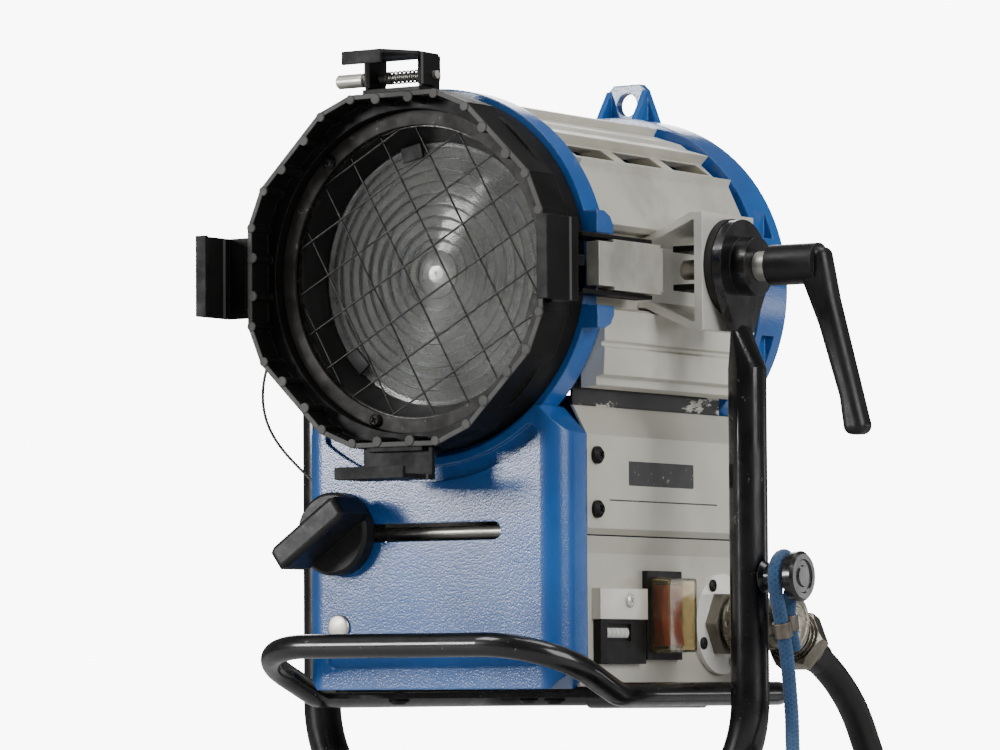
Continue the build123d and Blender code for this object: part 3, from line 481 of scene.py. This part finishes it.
def paint_flange_shade(made):
    """Painted shade: the folded top edge of a side panel, in the gap under the shell, is made near
    black, broken up by noise in places.
    """
    folded = made.ramp(made.axis("Z"), *head_zs(FLANGE_Z))
    shade_breaks = made.ramp(made.noise(120.0, 5.0, 0.7, (1, 0.3, 1)), 0.56, 0.62, 1.0, 0.0)
    painted = made.math("MULTIPLY", folded, shade_breaks)
    colour = made.skin.inputs["Base Color"].links[0].from_socket
    # near black: painted shade under the shell's lower rim
    made.set(Base_Color=made.mix(painted, colour, (0.006, 0.006, 0.006)))
    return painted


def make_name_panel():
    """The silver panel, with one thin printed rule and a plain printed bar."""
    made = surface("name_sheet", (0.56, 0.54, 0.47), (0.5, 0.48, 0.415), 0.25, (0.36, 0.46),
                   9.0, 2600.0, (0.1, 0.00008), edge=(0.3, 0.29, 0.27), edge_share=0.6)
    along, up, out = made.axis("Y"), made.axis("Z"), made.axis("X")
    face = made.ramp(out, *[head(x, 0, 0).x for x in PANEL_FACE_X])
    rule = made.math("MULTIPLY", made.between(along, *head_ys(RULE_Y)),
                     made.between(up, *head_zs(RULE_Z), 0.0001))
    bar = made.math("MULTIPLY", made.between(along, *head_ys(BAR_Y), 0.0001),
                    made.between(up, *head_zs(BAR_Z), 0.0001))
    bars = made.math("MAXIMUM", rule, bar)
    worn = made.ramp(made.noise(260.0, 5.0, 0.75), 0.3, 0.4)
    ink = made.math("MULTIPLY", made.math("MULTIPLY", bars, face), worn)
    colour = made.skin.inputs["Base Color"].links[0].from_socket
    made.set(Base_Color=made.mix(ink, colour, (0.02, 0.02, 0.021)))
    # the printed rule and bar, and the painted shade on the folded top edge; neither is metallic
    painted = made.math("MAXIMUM", ink, paint_flange_shade(made))
    made.set(Metallic=made.ramp(painted, 0.0, 1.0, 0.25, 0.0))
    return made


def make_panel():
    made = surface("panel_sheet", (0.56, 0.54, 0.47), (0.49, 0.47, 0.405), 0.25, (0.38, 0.5),
                   10.0, 2600.0, (0.1, 0.00008), edge=(0.28, 0.27, 0.25), edge_share=0.5,
                   dirt=(0.22, 0.2, 0.17))
    # the painted shade on the folded top edge is not metallic
    made.set(Metallic=made.ramp(paint_flange_shade(made), 0.0, 1.0, 0.25, 0.0))
    return made


def make_inlet():
    """Pale flange, then a dark bronze hexagon and barrel further out."""
    made = surface("inlet_finish", (0.86, 0.84, 0.79), (0.72, 0.7, 0.65), 0.3, (0.3, 0.45), 30.0,
                   1500.0, (0.15, 0.0001), edge=(0.25, 0.23, 0.2), dirt=(0.2, 0.19, 0.16))
    flange_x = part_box("inlet")[0].x
    out = made.ramp(made.axis("X"), *[flange_x + reach for reach in BRONZE_FROM])
    colour = made.skin.inputs["Base Color"].links[0].from_socket
    bronze = made.mix(made.noise(60.0, 4.0), (0.1, 0.088, 0.066), (0.19, 0.17, 0.135))
    made.set(Base_Color=made.mix(out, colour, bronze))
    return made


def make_lens():
    """Pressed glass: ring prisms whose fine stipple scatters the light in small sparks."""
    made = Shader("fresnel_glass")
    stipple = made.noise(3200.0, 2.0, 0.5)
    pebble = made.ramp(made.cells(2200.0), 0.0, 0.6)
    cloud = made.ramp(made.noise(700.0, 4.0, 0.75), 0.35, 0.7)
    made.set(Base_Color=made.mix(cloud, (0.66, 0.67, 0.64), (0.88, 0.89, 0.86)))
    made.set(Roughness=made.ramp(cloud, 0.0, 1.0, 0.1, 0.24), Transmission_Weight=0.88, IOR=1.5)
    height = made.math("ADD", stipple, pebble)
    made.set(Normal=made.bump(height, 0.1, 0.00012), Coat_Weight=0.4, Coat_Roughness=0.1)
    return made


def make_clear(name, colour, rough):
    """Yellowed clear moulding with scuffs."""
    made = Shader(name)
    scuff = made.ramp(made.noise(220.0, 5.0, 0.7, (1, 0.4, 1)), 0.35, 0.7)
    made.set(Base_Color=made.mix(scuff, colour, tuple(c * 0.82 for c in colour)))
    made.set(Roughness=made.ramp(scuff, 0.0, 1.0, rough, rough + 0.15))
    made.set(Transmission_Weight=0.95, IOR=1.3)
    made.set(Normal=made.bump(scuff, 0.08, 0.0001, made.rounded(0.0008)))
    return made


def make_cable_rubber():
    return surface("cable_jacket", (0.005, 0.0048, 0.0045), (0.009, 0.0085, 0.008), 0.0,
                   (0.42, 0.6), 18.0, 700.0, (0.2, 0.00015), dirt=(0.022, 0.02, 0.017), specular=0.35)


def make_braid(name, base, shade, groove_shade, rough, metal=0.0):
    """Strands with painted shade in the hollows between them, from the height stored on the mesh."""
    made = Shader(name)
    stored = made.node("Attribute", attribute_name="height").outputs["Fac"]
    tone = made.mix(made.ramp(made.noise(140.0, 5.0, 0.7), 0.3, 0.7), shade, base)
    # painted shade: darker where the stored height is low, between the strands
    made.set(Base_Color=made.mix(made.ramp(stored, 0.1, 0.75), groove_shade, tone))
    made.set(Roughness=made.ramp(made.noise(400.0), 0.3, 0.7, rough - 0.1, rough + 0.1))
    fibres = made.noise(2600.0, 3.0, 0.6)
    made.set(Metallic=metal, Normal=made.bump(fibres, 0.35, 0.0002))
    if not metal:
        made.skin.inputs["Sheen Weight"].default_value = 0.35
        made.skin.inputs["Sheen Roughness"].default_value = 0.5
    return made


def make_web():
    """Woven webbing: small crossing ridges, with painted shade between the threads."""
    made = Shader("webbing")
    threads = {"Scale": 260.0, "Distortion": 0.6}
    across = made.node("TexWave", {"Vector": made.place, **threads}, bands_direction="Y").outputs[1]
    along = made.node("TexWave", {"Vector": made.place, **threads}, bands_direction="X").outputs[1]
    weave = made.math("MAXIMUM", across, along)
    # painted shade: darker between the threads, from the same waves as the bump
    made.set(Base_Color=made.mix(weave, (0.008, 0.008, 0.009), (0.03, 0.03, 0.033)))
    made.set(Roughness=made.ramp(weave, 0.0, 1.0, 0.85, 0.65))
    made.set(Normal=made.bump(weave, 0.5, 0.0004))
    return made


MATERIALS = {
    "black_paint": make_glossy_black("gloss_black_tube"),
    "black_casting": make_black_cast(),
    "blue_paint": make_blue(),
    "spigot_steel": surface(
        "turned_steel", (0.42, 0.41, 0.39), (0.3, 0.29, 0.27), 1.0, (0.25, 0.4), 30.0, 900.0,
        (0.15, 0.0001), (1, 1, 6), edge=(0.6, 0.59, 0.57), dirt=(0.12, 0.1, 0.08)),
    "plain_steel": surface(
        "plain_steel", (0.56, 0.54, 0.48), (0.44, 0.425, 0.375), 0.55, (0.3, 0.42), 60.0, 1200.0,
        (0.15, 0.0001), (1, 1, 0.04), edge=(0.6, 0.59, 0.57)),
    "black_steel": surface(
        "black_steel", (0.0035, 0.0033, 0.0032), (0.007, 0.0065, 0.0062), 0.0, (0.4, 0.56), 45.0,
        1000.0, (0.2, 0.00012), edge=(0.13, 0.125, 0.115), edge_share=0.55,
        chips=(0.07, 0.065, 0.06), chip_level=0.74, specular=0.2),
    "shell_aluminium": make_shell(),
    "silver_panel": make_panel(),
    "bracket_aluminium": surface(
        "bracket_aluminium", (0.74, 0.72, 0.66), (0.62, 0.6, 0.55), 0.4, (0.28, 0.4), 20.0, 1400.0,
        (0.14, 0.0001), (1, 1, 0.03), edge=(0.72, 0.71, 0.69), dirt=(0.25, 0.23, 0.2)),
    "brake_rubber": surface(
        "brake_rubber", (0.006, 0.0055, 0.005), (0.012, 0.011, 0.01), 0.0, (0.55, 0.75), 60.0,
        700.0, (0.3, 0.0003), dirt=(0.04, 0.036, 0.03), specular=0.3),
    "black_plastic": surface(
        "black_plastic", (0.004, 0.004, 0.0042), (0.008, 0.008, 0.008), 0.0, (0.36, 0.5), 50.0,
        1600.0, (0.28, 0.00015), edge=(0.05, 0.05, 0.05), edge_share=0.4,
        dirt=(0.018, 0.017, 0.016), specular=0.35),
    "display": surface(
        "display_case", (0.005, 0.005, 0.0055), (0.009, 0.009, 0.009), 0.0, (0.4, 0.5), 60.0,
        1500.0, (0.08, 0.0001), edge=(0.06, 0.06, 0.06), edge_share=0.4, specular=0.2),
    "clear_cover": make_clear("yellowed_clear", (0.95, 0.84, 0.56), 0.06),
    "red_rocker": surface(
        "red_plastic", (0.36, 0.022, 0.02), (0.28, 0.015, 0.015), 0.0, (0.3, 0.42), 40.0,
        1200.0, (0.12, 0.0001), edge=(0.45, 0.06, 0.05), edge_share=0.4),
    "inlet_metal": make_inlet(),
    "nickel": surface(
        "worn_nickel", (0.29, 0.265, 0.215), (0.17, 0.153, 0.12), 1.0, (0.22, 0.42), 55.0, 900.0,
        (0.18, 0.00015), edge=(0.68, 0.65, 0.58), edge_share=0.7, chips=(0.09, 0.075, 0.055),
        chip_level=0.7, dirt=(0.12, 0.1, 0.075)),
    "inner_metal": surface(
        "inner_sheet", (0.32, 0.32, 0.31), (0.24, 0.24, 0.23), 0.9, (0.35, 0.5), 30.0, 1200.0,
        (0.12, 0.0001), dirt=(0.1, 0.1, 0.09)),
    "mirror_metal": surface(
        "mirror_metal", (0.86, 0.85, 0.83), (0.8, 0.79, 0.77), 1.0, (0.06, 0.12), 40.0, 800.0,
        (0.04, 0.0001)),
    "lamp_glass": make_clear("lamp_glass", (0.93, 0.94, 0.93), 0.04),
    "lens_glass": make_lens(),
    "igniter_case": surface(
        "igniter_case", (0.09, 0.09, 0.088), (0.06, 0.06, 0.06), 0.0, (0.4, 0.55), 30.0, 1200.0,
        (0.15, 0.0001), edge=(0.2, 0.2, 0.19)),
    "ring_grey": surface(
        "grey_ring", (0.034, 0.031, 0.028), (0.02, 0.018, 0.016), 0.1, (0.5, 0.65), 70.0,
        1200.0, (0.2, 0.00012), edge=(0.015, 0.015, 0.015), edge_share=0.5,
        chips=(0.1, 0.096, 0.09), chip_level=0.64, specular=0.25),
    # the seat is set near black, darker than its grey: painted shade of the deep recess between lens and
    # guard ring
    "seat_grey": surface(
        "seat_grey", (0.008, 0.0075, 0.007), (0.005, 0.0047, 0.0045), 0.0, (0.45, 0.6), 40.0, 1200.0,
        (0.2, 0.00012), edge=(0.04, 0.038, 0.034), edge_share=0.3, specular=0.3),
    "guard_wire": surface(
        "guard_wire", (0.03, 0.028, 0.025), (0.012, 0.011, 0.01), 0.6, (0.25, 0.45), 300.0,
        1500.0, (0.3, 0.0001), edge_radius=0.0001, chips=(0.45, 0.43, 0.4), chip_level=0.66,
        chip_scale=420.0),
    "spring_steel": surface(
        "spring_steel", (0.2, 0.19, 0.175), (0.11, 0.105, 0.095), 1.0, (0.25, 0.4), 200.0,
        1500.0, (0.15, 0.0001), edge_radius=0.0001),
    "cable_rubber": make_cable_rubber(),
    "strap_web": make_web(),
    "cord_braid": make_braid(
        "cord_braid", (0.004, 0.06, 0.16), (0.003, 0.04, 0.115), (0.001, 0.014, 0.045), 0.75),
    "crimp_metal": surface(
        "crimp_metal", (0.2, 0.175, 0.145), (0.13, 0.11, 0.09), 0.85, (0.35, 0.5), 120.0, 900.0,
        (0.25, 0.0002), edge=(0.4, 0.37, 0.32)),
}
NAME_PANEL = make_name_panel()


def slot_of(made):
    """A CAD node's slot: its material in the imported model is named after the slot."""
    label = made.data.materials[0].name.split(".")[0]
    return max((slot for slot in MATERIALS if label.endswith(slot)), key=len)


def dress_cad():
    for name, made in nodes.items():
        shader = NAME_PANEL if name == "name_panel" else MATERIALS[slot_of(made)]
        for index in range(len(made.data.materials)):
            made.data.materials[index] = shader.material


dress_cad()


def finish_piece(piece, slot, body, shader=None):
    """Gives a piece its material, by default the one for its slot, and the body it rides on."""
    piece.data.materials.clear()
    piece.data.materials.append((shader or MATERIALS[slot]).material)
    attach(piece, body)
    return piece


# ---------------------------------------------------------------- small pieces


def frame_along(direction):
    """The given direction and two across it."""
    way = Vector(direction).normalized()
    side = way.orthogonal().normalized()
    return way, side, way.cross(side)


def turned(name, profile, place, direction, sides=48, flat=None):
    """A profile of (along, radius) in mm turned about a line; flat bends it to a polygon."""
    way, side, third = frame_along(direction)
    vertices, faces = [], []
    for along, radius in profile:
        for i in range(sides):
            angle = 2 * pi * i / sides
            share = flat(angle) if flat else 1.0
            out = (side * cos(angle) + third * sin(angle)) * radius * share * MM
            vertices.append(place + way * along * MM + out)
    for i in range(len(profile) - 1):
        for j in range(sides):
            a, b = i * sides + j, i * sides + (j + 1) % sides
            faces.append((a, b, b + sides, a + sides))
    faces.append(tuple(reversed(range(sides))))
    faces.append(tuple(range(len(vertices) - sides, len(vertices))))
    made = mesh_object(name, vertices, faces)
    made.data.set_sharp_from_angle(angle=radians(32))
    return made


def pan_screw(name, place, direction, radius, height, slot, body):
    """A pan-head screw with a cross recess sunk in its head."""
    profile = [(-0.4, radius * 0.98), (height * 0.3, radius), (height * 0.62, radius * 0.93),
               (height * 0.88, radius * 0.74), (height, radius * 0.55), (height, radius * 0.5),
               (height, radius * 0.02)]
    made = turned(name, profile, place, direction, 40)
    way, side, third = frame_along(direction)
    cutter = bmesh.new()
    for across, width in ((side, third), (third, side)):
        corners = []
        for depth in (height * 0.45, height * 1.4):
            for a, b in ((-1, -1), (1, -1), (1, 1), (-1, 1)):
                offset = across * a * radius * 0.52 + width * b * radius * 0.1
                corners.append(cutter.verts.new(place + (offset + way * depth) * MM))
        low, high = corners[:4], corners[4:]
        cutter.faces.new(low[::-1])
        cutter.faces.new(high)
        for i in range(4):
            cutter.faces.new((low[i], low[(i + 1) % 4], high[(i + 1) % 4], high[i]))
    bmesh.ops.recalc_face_normals(cutter, faces=cutter.faces)
    mesh = bpy.data.meshes.new("cross")
    cutter.to_mesh(mesh)
    cutter.free()
    tool = link("cross", mesh)
    cut = made.modifiers.new("recess", "BOOLEAN")
    cut.object, cut.operation, cut.solver, cut.use_self = tool, "DIFFERENCE", "EXACT", True
    bpy.context.view_layer.update()
    result = bpy.data.meshes.new_from_object(made.evaluated_get(bpy.context.evaluated_depsgraph_get()))
    made.modifiers.clear()
    made.data = result
    bpy.data.objects.remove(tool)
    return finish_piece(made, slot, body)


def rounded_band(name, centre, half_x, half_z, corner, width, thick, crown):
    """A flat band, as wide as given along Y, looped round a bundle in the XZ plane."""
    outline = []
    for cx, cz, start in ((1, 1, 0), (-1, 1, 90), (-1, -1, 180), (1, -1, 270)):
        for i in range(9):
            angle = radians(start + i * 90 / 8)
            x = cx * (half_x - corner) + corner * cos(angle)
            z = cz * (half_z - corner) + corner * sin(angle)
            outline.append((x, z, cos(angle), sin(angle)))
    section = []
    for i in range(9):
        v = -1 + i / 4
        section.append((v * width / 2, thick / 2 + crown * (1 - v * v)))
    section += [(v, -thick / 2) for v, _ in reversed(section)]
    vertices, faces = [], []
    for x, z, nx, nz in outline:
        for across, out in section:
            place = Vector((x + nx * out, across, z + nz * out))
            vertices.append(centre + place * MM)
    count, sides = len(outline), len(section)
    for i in range(count):
        for j in range(sides):
            a, b = i * sides + j, i * sides + (j + 1) % sides
            c, d = (i + 1) % count * sides + (j + 1) % sides, (i + 1) % count * sides + j
            faces.append((a, b, c, d))
    return mesh_object(name, vertices, faces)


def ring_torus(name, centre, major, minor, direction):
    """A round ring standing across the given direction."""
    way, side, third = frame_along(direction)
    vertices, faces, count, sides = [], [], 48, 16
    for i in range(count):
        angle = 2 * pi * i / count
        out = side * cos(angle) + third * sin(angle)
        for j in range(sides):
            turn = 2 * pi * j / sides
            vertices.append(centre + (out * (major + minor * cos(turn)) + way * minor * sin(turn)) * MM)
    for i in range(count):
        for j in range(sides):
            a, b = i * sides + j, i * sides + (j + 1) % sides
            c, d = (i + 1) % count * sides + (j + 1) % sides, (i + 1) % count * sides + j
            faces.append((a, b, c, d))
    return mesh_object(name, vertices, faces)


def make_coil_tie():
    """The webbing round the coil's top and its steel ring."""
    ring_r, ring_wire, corner, width, thick, crown = 6, 1.6, 8, 21, 1.7, 0.15
    side_inset, end_inset, tuck = 1.0, 0.9, 2.0  # in from the box, and the ring into the band
    ring_reach = ring_r + ring_wire
    lo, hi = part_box("coil_strap")
    half_x = (hi.x - lo.x) / 2 / MM - side_inset
    middle = Vector(((lo.x + hi.x) / 2, (lo.y + hi.y) / 2, 0))
    top = hi.z / MM - 2 * (ring_reach + ring_wire) + tuck
    half_z = (top - lo.z / MM) / 2 - end_inset
    middle.z = (lo.z / MM + end_inset + half_z) * MM
    strap = rounded_band("coil_webbing", middle, half_x, half_z, corner, width, thick, crown)
    finish_piece(strap, "strap_web", "stirrup")
    ring_place = Vector((middle.x, middle.y, hi.z - ring_reach * MM))
    ring = ring_torus("strap_ring", ring_place, ring_r, ring_wire, (1, 0, 0))
    finish_piece(ring, "plain_steel", "stirrup")
    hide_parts("coil_strap")
    return strap, ring


def make_counter():
    """Five plain wheels behind the counter's window, with dark gaps between them."""
    pale = surface("counter_wheel", (0.62, 0.62, 0.58), (0.5, 0.5, 0.47), 0.0, (0.4, 0.5), 90.0)
    profile = [(-1.9, 3.4), (-1.75, 3.7), (1.75, 3.7), (1.9, 3.4)]
    for i in range(WHEELS):
        place = head(*FIRST_WHEEL) + Vector((0, WHEEL_PITCH * i, 0)) * MM
        wheel = turned(f"counter_wheel_{i + 1}", profile, place, (0, 1, 0), 40)
        finish_piece(wheel, "display", "head", pale)


def make_springs():
    """Both springs as still copies of their CAD meshes, in spring steel."""
    for name, node, moving, still in (
        ("lever_spring_wire", "lever_spring", "lever", "clamp"),
        ("catch_spring_wire", "catch_spring", "button", "door"),
    ):
        source = nodes[node]
        points = [source.matrix_world @ vertex.co for vertex in source.data.vertices]
        spring = mesh_object(name, points, [tuple(face.vertices) for face in source.data.polygons])
        spring.data.materials.append(MATERIALS["spring_steel"].material)
        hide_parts(node)
        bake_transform(spring)


def make_front_plug():
    """The round blanking plug low on the left of the front casting."""
    profile = [(-6, 4.6), (0.2, 4.7), (0.2, 6.0), (0.9, 6.2), (1.6, 5.7), (1.9, 4.4), (1.9, 0.1)]
    plug = turned("front_plug", profile, head(*FRONT_PLUG), (0, -1, 0))
    finish_piece(plug, "plain_steel", "head")


def hexagon(angle):
    """How far a hexagon's edge is from its middle, as a share of its inner radius."""
    return 1 / cos(angle % (pi / 3) - pi / 6)


def make_plug_cap():
    """The stepped round cap on the outer side of the elbow, with a small hexagon."""
    place = head(*PLUG_ELBOW)
    profile = [(7.5, 13.6), (9.0, 14.6), (11.2, 14.6), (12.0, 13.8), (12.0, 12.4), (12.5, 12.2),
               (12.5, 10.6), (12.0, 10.4), (12.0, 8.6), (12.7, 8.3), (12.7, 5.6), (12.7, 0.1)]
    cap = turned("plug_cap", profile, place, (1, 0, 0), 64)
    finish_piece(cap, "nickel", "head")
    profile = [(12.0, 4.3), (13.6, 4.3), (13.9, 4.0), (13.9, 0.1)]
    nut = turned("plug_hexagon", profile, place, (1, 0, 0), 48, hexagon)
    finish_piece(nut, "nickel", "head")


def make_cable_boot():
    """A short tapered rubber sleeve where the cable leaves the plug's gland."""
    start = Vector(CABLE_ROUTE[0]) * MM
    way = (Vector(CABLE_ROUTE[1]) - Vector(CABLE_ROUTE[0])).normalized()
    profile = [(-3, 9.6), (0.4, 9.7), (3, 9.4), (8, 8.6), (13, 8.05), (14, 7.7), (14, 7.45)]
    boot = turned("cable_boot", profile, start, way, 40)
    return finish_piece(boot, "cable_rubber", "head")


def make_far_screws():
    """The screws that only the looks have: all of the left side's and rear's, two on the right."""
    side, rear = (4.3, 3.2, "black_steel", "head"), (3.6, 2.6, "black_steel", "head")
    for i, z in enumerate(SIDE_SCREW_Z):
        for j, y in enumerate(SIDE_SCREW_Y):
            pan_screw(f"left_screw_{2 * i + j + 1}", head(-SIDE_SCREW_X, y, z), (-1, 0, 0), *side)
        place = head(SIDE_SCREW_X, SIDE_SCREW_Y[1], z)
        pan_screw(f"right_screw_{i + 1}", place, (1, 0, 0), *side)
    spots = [(x, z) for z in REAR_SCREW_Z for x in REAR_SCREW_X]
    for i, (x, z) in enumerate(spots):
        pan_screw(f"rear_screw_{i + 1}", head(x, REAR_SCREW_Y, z), (0, 1, 0), *rear)


def dress_cords():
    cable, cable_line = cords["cable"]
    cable.data.materials.append(MATERIALS["cable_rubber"].material)
    cord, cord_line = cords["cord"]
    cord.data.materials.append(MATERIALS["cord_braid"].material)
    wire, wire_line = cords["wire"]
    twisted = make_braid("wire_rope", (0.16, 0.145, 0.125), (0.09, 0.08, 0.07),
                         (0.02, 0.018, 0.016), 0.45, 0.8)
    wire.data.materials.append(twisted.material)
    boot = make_cable_boot()
    strap, ring = make_coil_tie()


dress_cords()
make_counter()
make_springs()
make_front_plug()
make_plug_cap()
make_far_screws()

# ---------------------------------------------------------------- stage, light and finish


TARGET = Vector((0, 0, 0.25))
LIGHTS = [  # name, place, size and power in watts
    ("left", (-1.33, -1.9, 0.58), (0.6, 0.5), 38),
    ("high_left", (-0.7, -1.5, 2.1), (0.9, 0.9), 30),
    ("right", (2.3, -0.2, 1.0), (1.5, 1.3), 50),
    ("rim", (1.5, 2.3, 0.2), (0.8, 0.3), 2.5),
    ("top", (0.5, 0.4, 2.4), (1.4, 1.4), 34),
    ("rear", (-1.4, 2.0, 1.2), (1.0, 1.0), 16),
]
BACKGROUND, SURROUND = 9.0, 0.1  # the world's strength as the camera sees it, and as light
FLOOR_GAP, FLOOR_REACH, FLOOR_GLOW = 0.004, 7.0, 0.8


def area_light(name, place, size, power):
    """A soft panel turned to the object."""
    data = bpy.data.lights.new(name, "AREA")
    data.shape = "RECTANGLE"
    data.size, data.size_y = size
    data.energy = power
    made = link(name, data)
    made.location = place
    made.rotation_euler = (TARGET - Vector(place)).to_track_quat("-Z", "Y").to_euler()


def make_floor():
    """A plain pale floor just under the lowest part, brighter where the camera sees it."""
    low = cad_box[0].z - FLOOR_GAP
    signs = ((-1, -1), (1, -1), (1, 1), (-1, 1))
    corners = [Vector((x * FLOOR_REACH, y * FLOOR_REACH, low)) for x, y in signs]
    floor = mesh_object("floor", corners, [(0, 1, 2, 3)], False)
    made = Shader("pale_floor")
    made.set(Base_Color=made.mix(made.noise(3.0, 4.0), (0.45, 0.45, 0.45), (0.5, 0.5, 0.5)))
    made.set(Roughness=made.ramp(made.noise(20.0), 0.3, 0.7, 0.55, 0.65))
    seen = made.node("LightPath").outputs["Is Camera Ray"]
    made.set(Emission_Color=(1, 1, 1), Emission_Strength=made.math("MULTIPLY", seen, FLOOR_GLOW))
    floor.data.materials.append(made.material)


def make_world():
    """White where the camera looks past the object, and a faint even light on it."""
    world = bpy.data.worlds.new("studio")
    bpy.context.scene.world = world
    world.use_nodes = True
    tree = world.node_tree
    tree.nodes.clear()
    output = tree.nodes.new("ShaderNodeOutputWorld")
    both = tree.nodes.new("ShaderNodeMixShader")
    path = tree.nodes.new("ShaderNodeLightPath")
    seen, light = tree.nodes.new("ShaderNodeBackground"), tree.nodes.new("ShaderNodeBackground")
    seen.inputs["Color"].default_value = (1, 1, 1, 1)
    seen.inputs["Strength"].default_value = BACKGROUND
    light.inputs["Color"].default_value = (0.98, 0.99, 1, 1)
    light.inputs["Strength"].default_value = SURROUND
    tree.links.new(path.outputs["Is Camera Ray"], both.inputs[0])
    tree.links.new(light.outputs[0], both.inputs[1])
    tree.links.new(seen.outputs[0], both.inputs[2])
    tree.links.new(both.outputs[0], output.inputs["Surface"])


for light in LIGHTS:
    area_light(*light)
make_floor()
make_world()
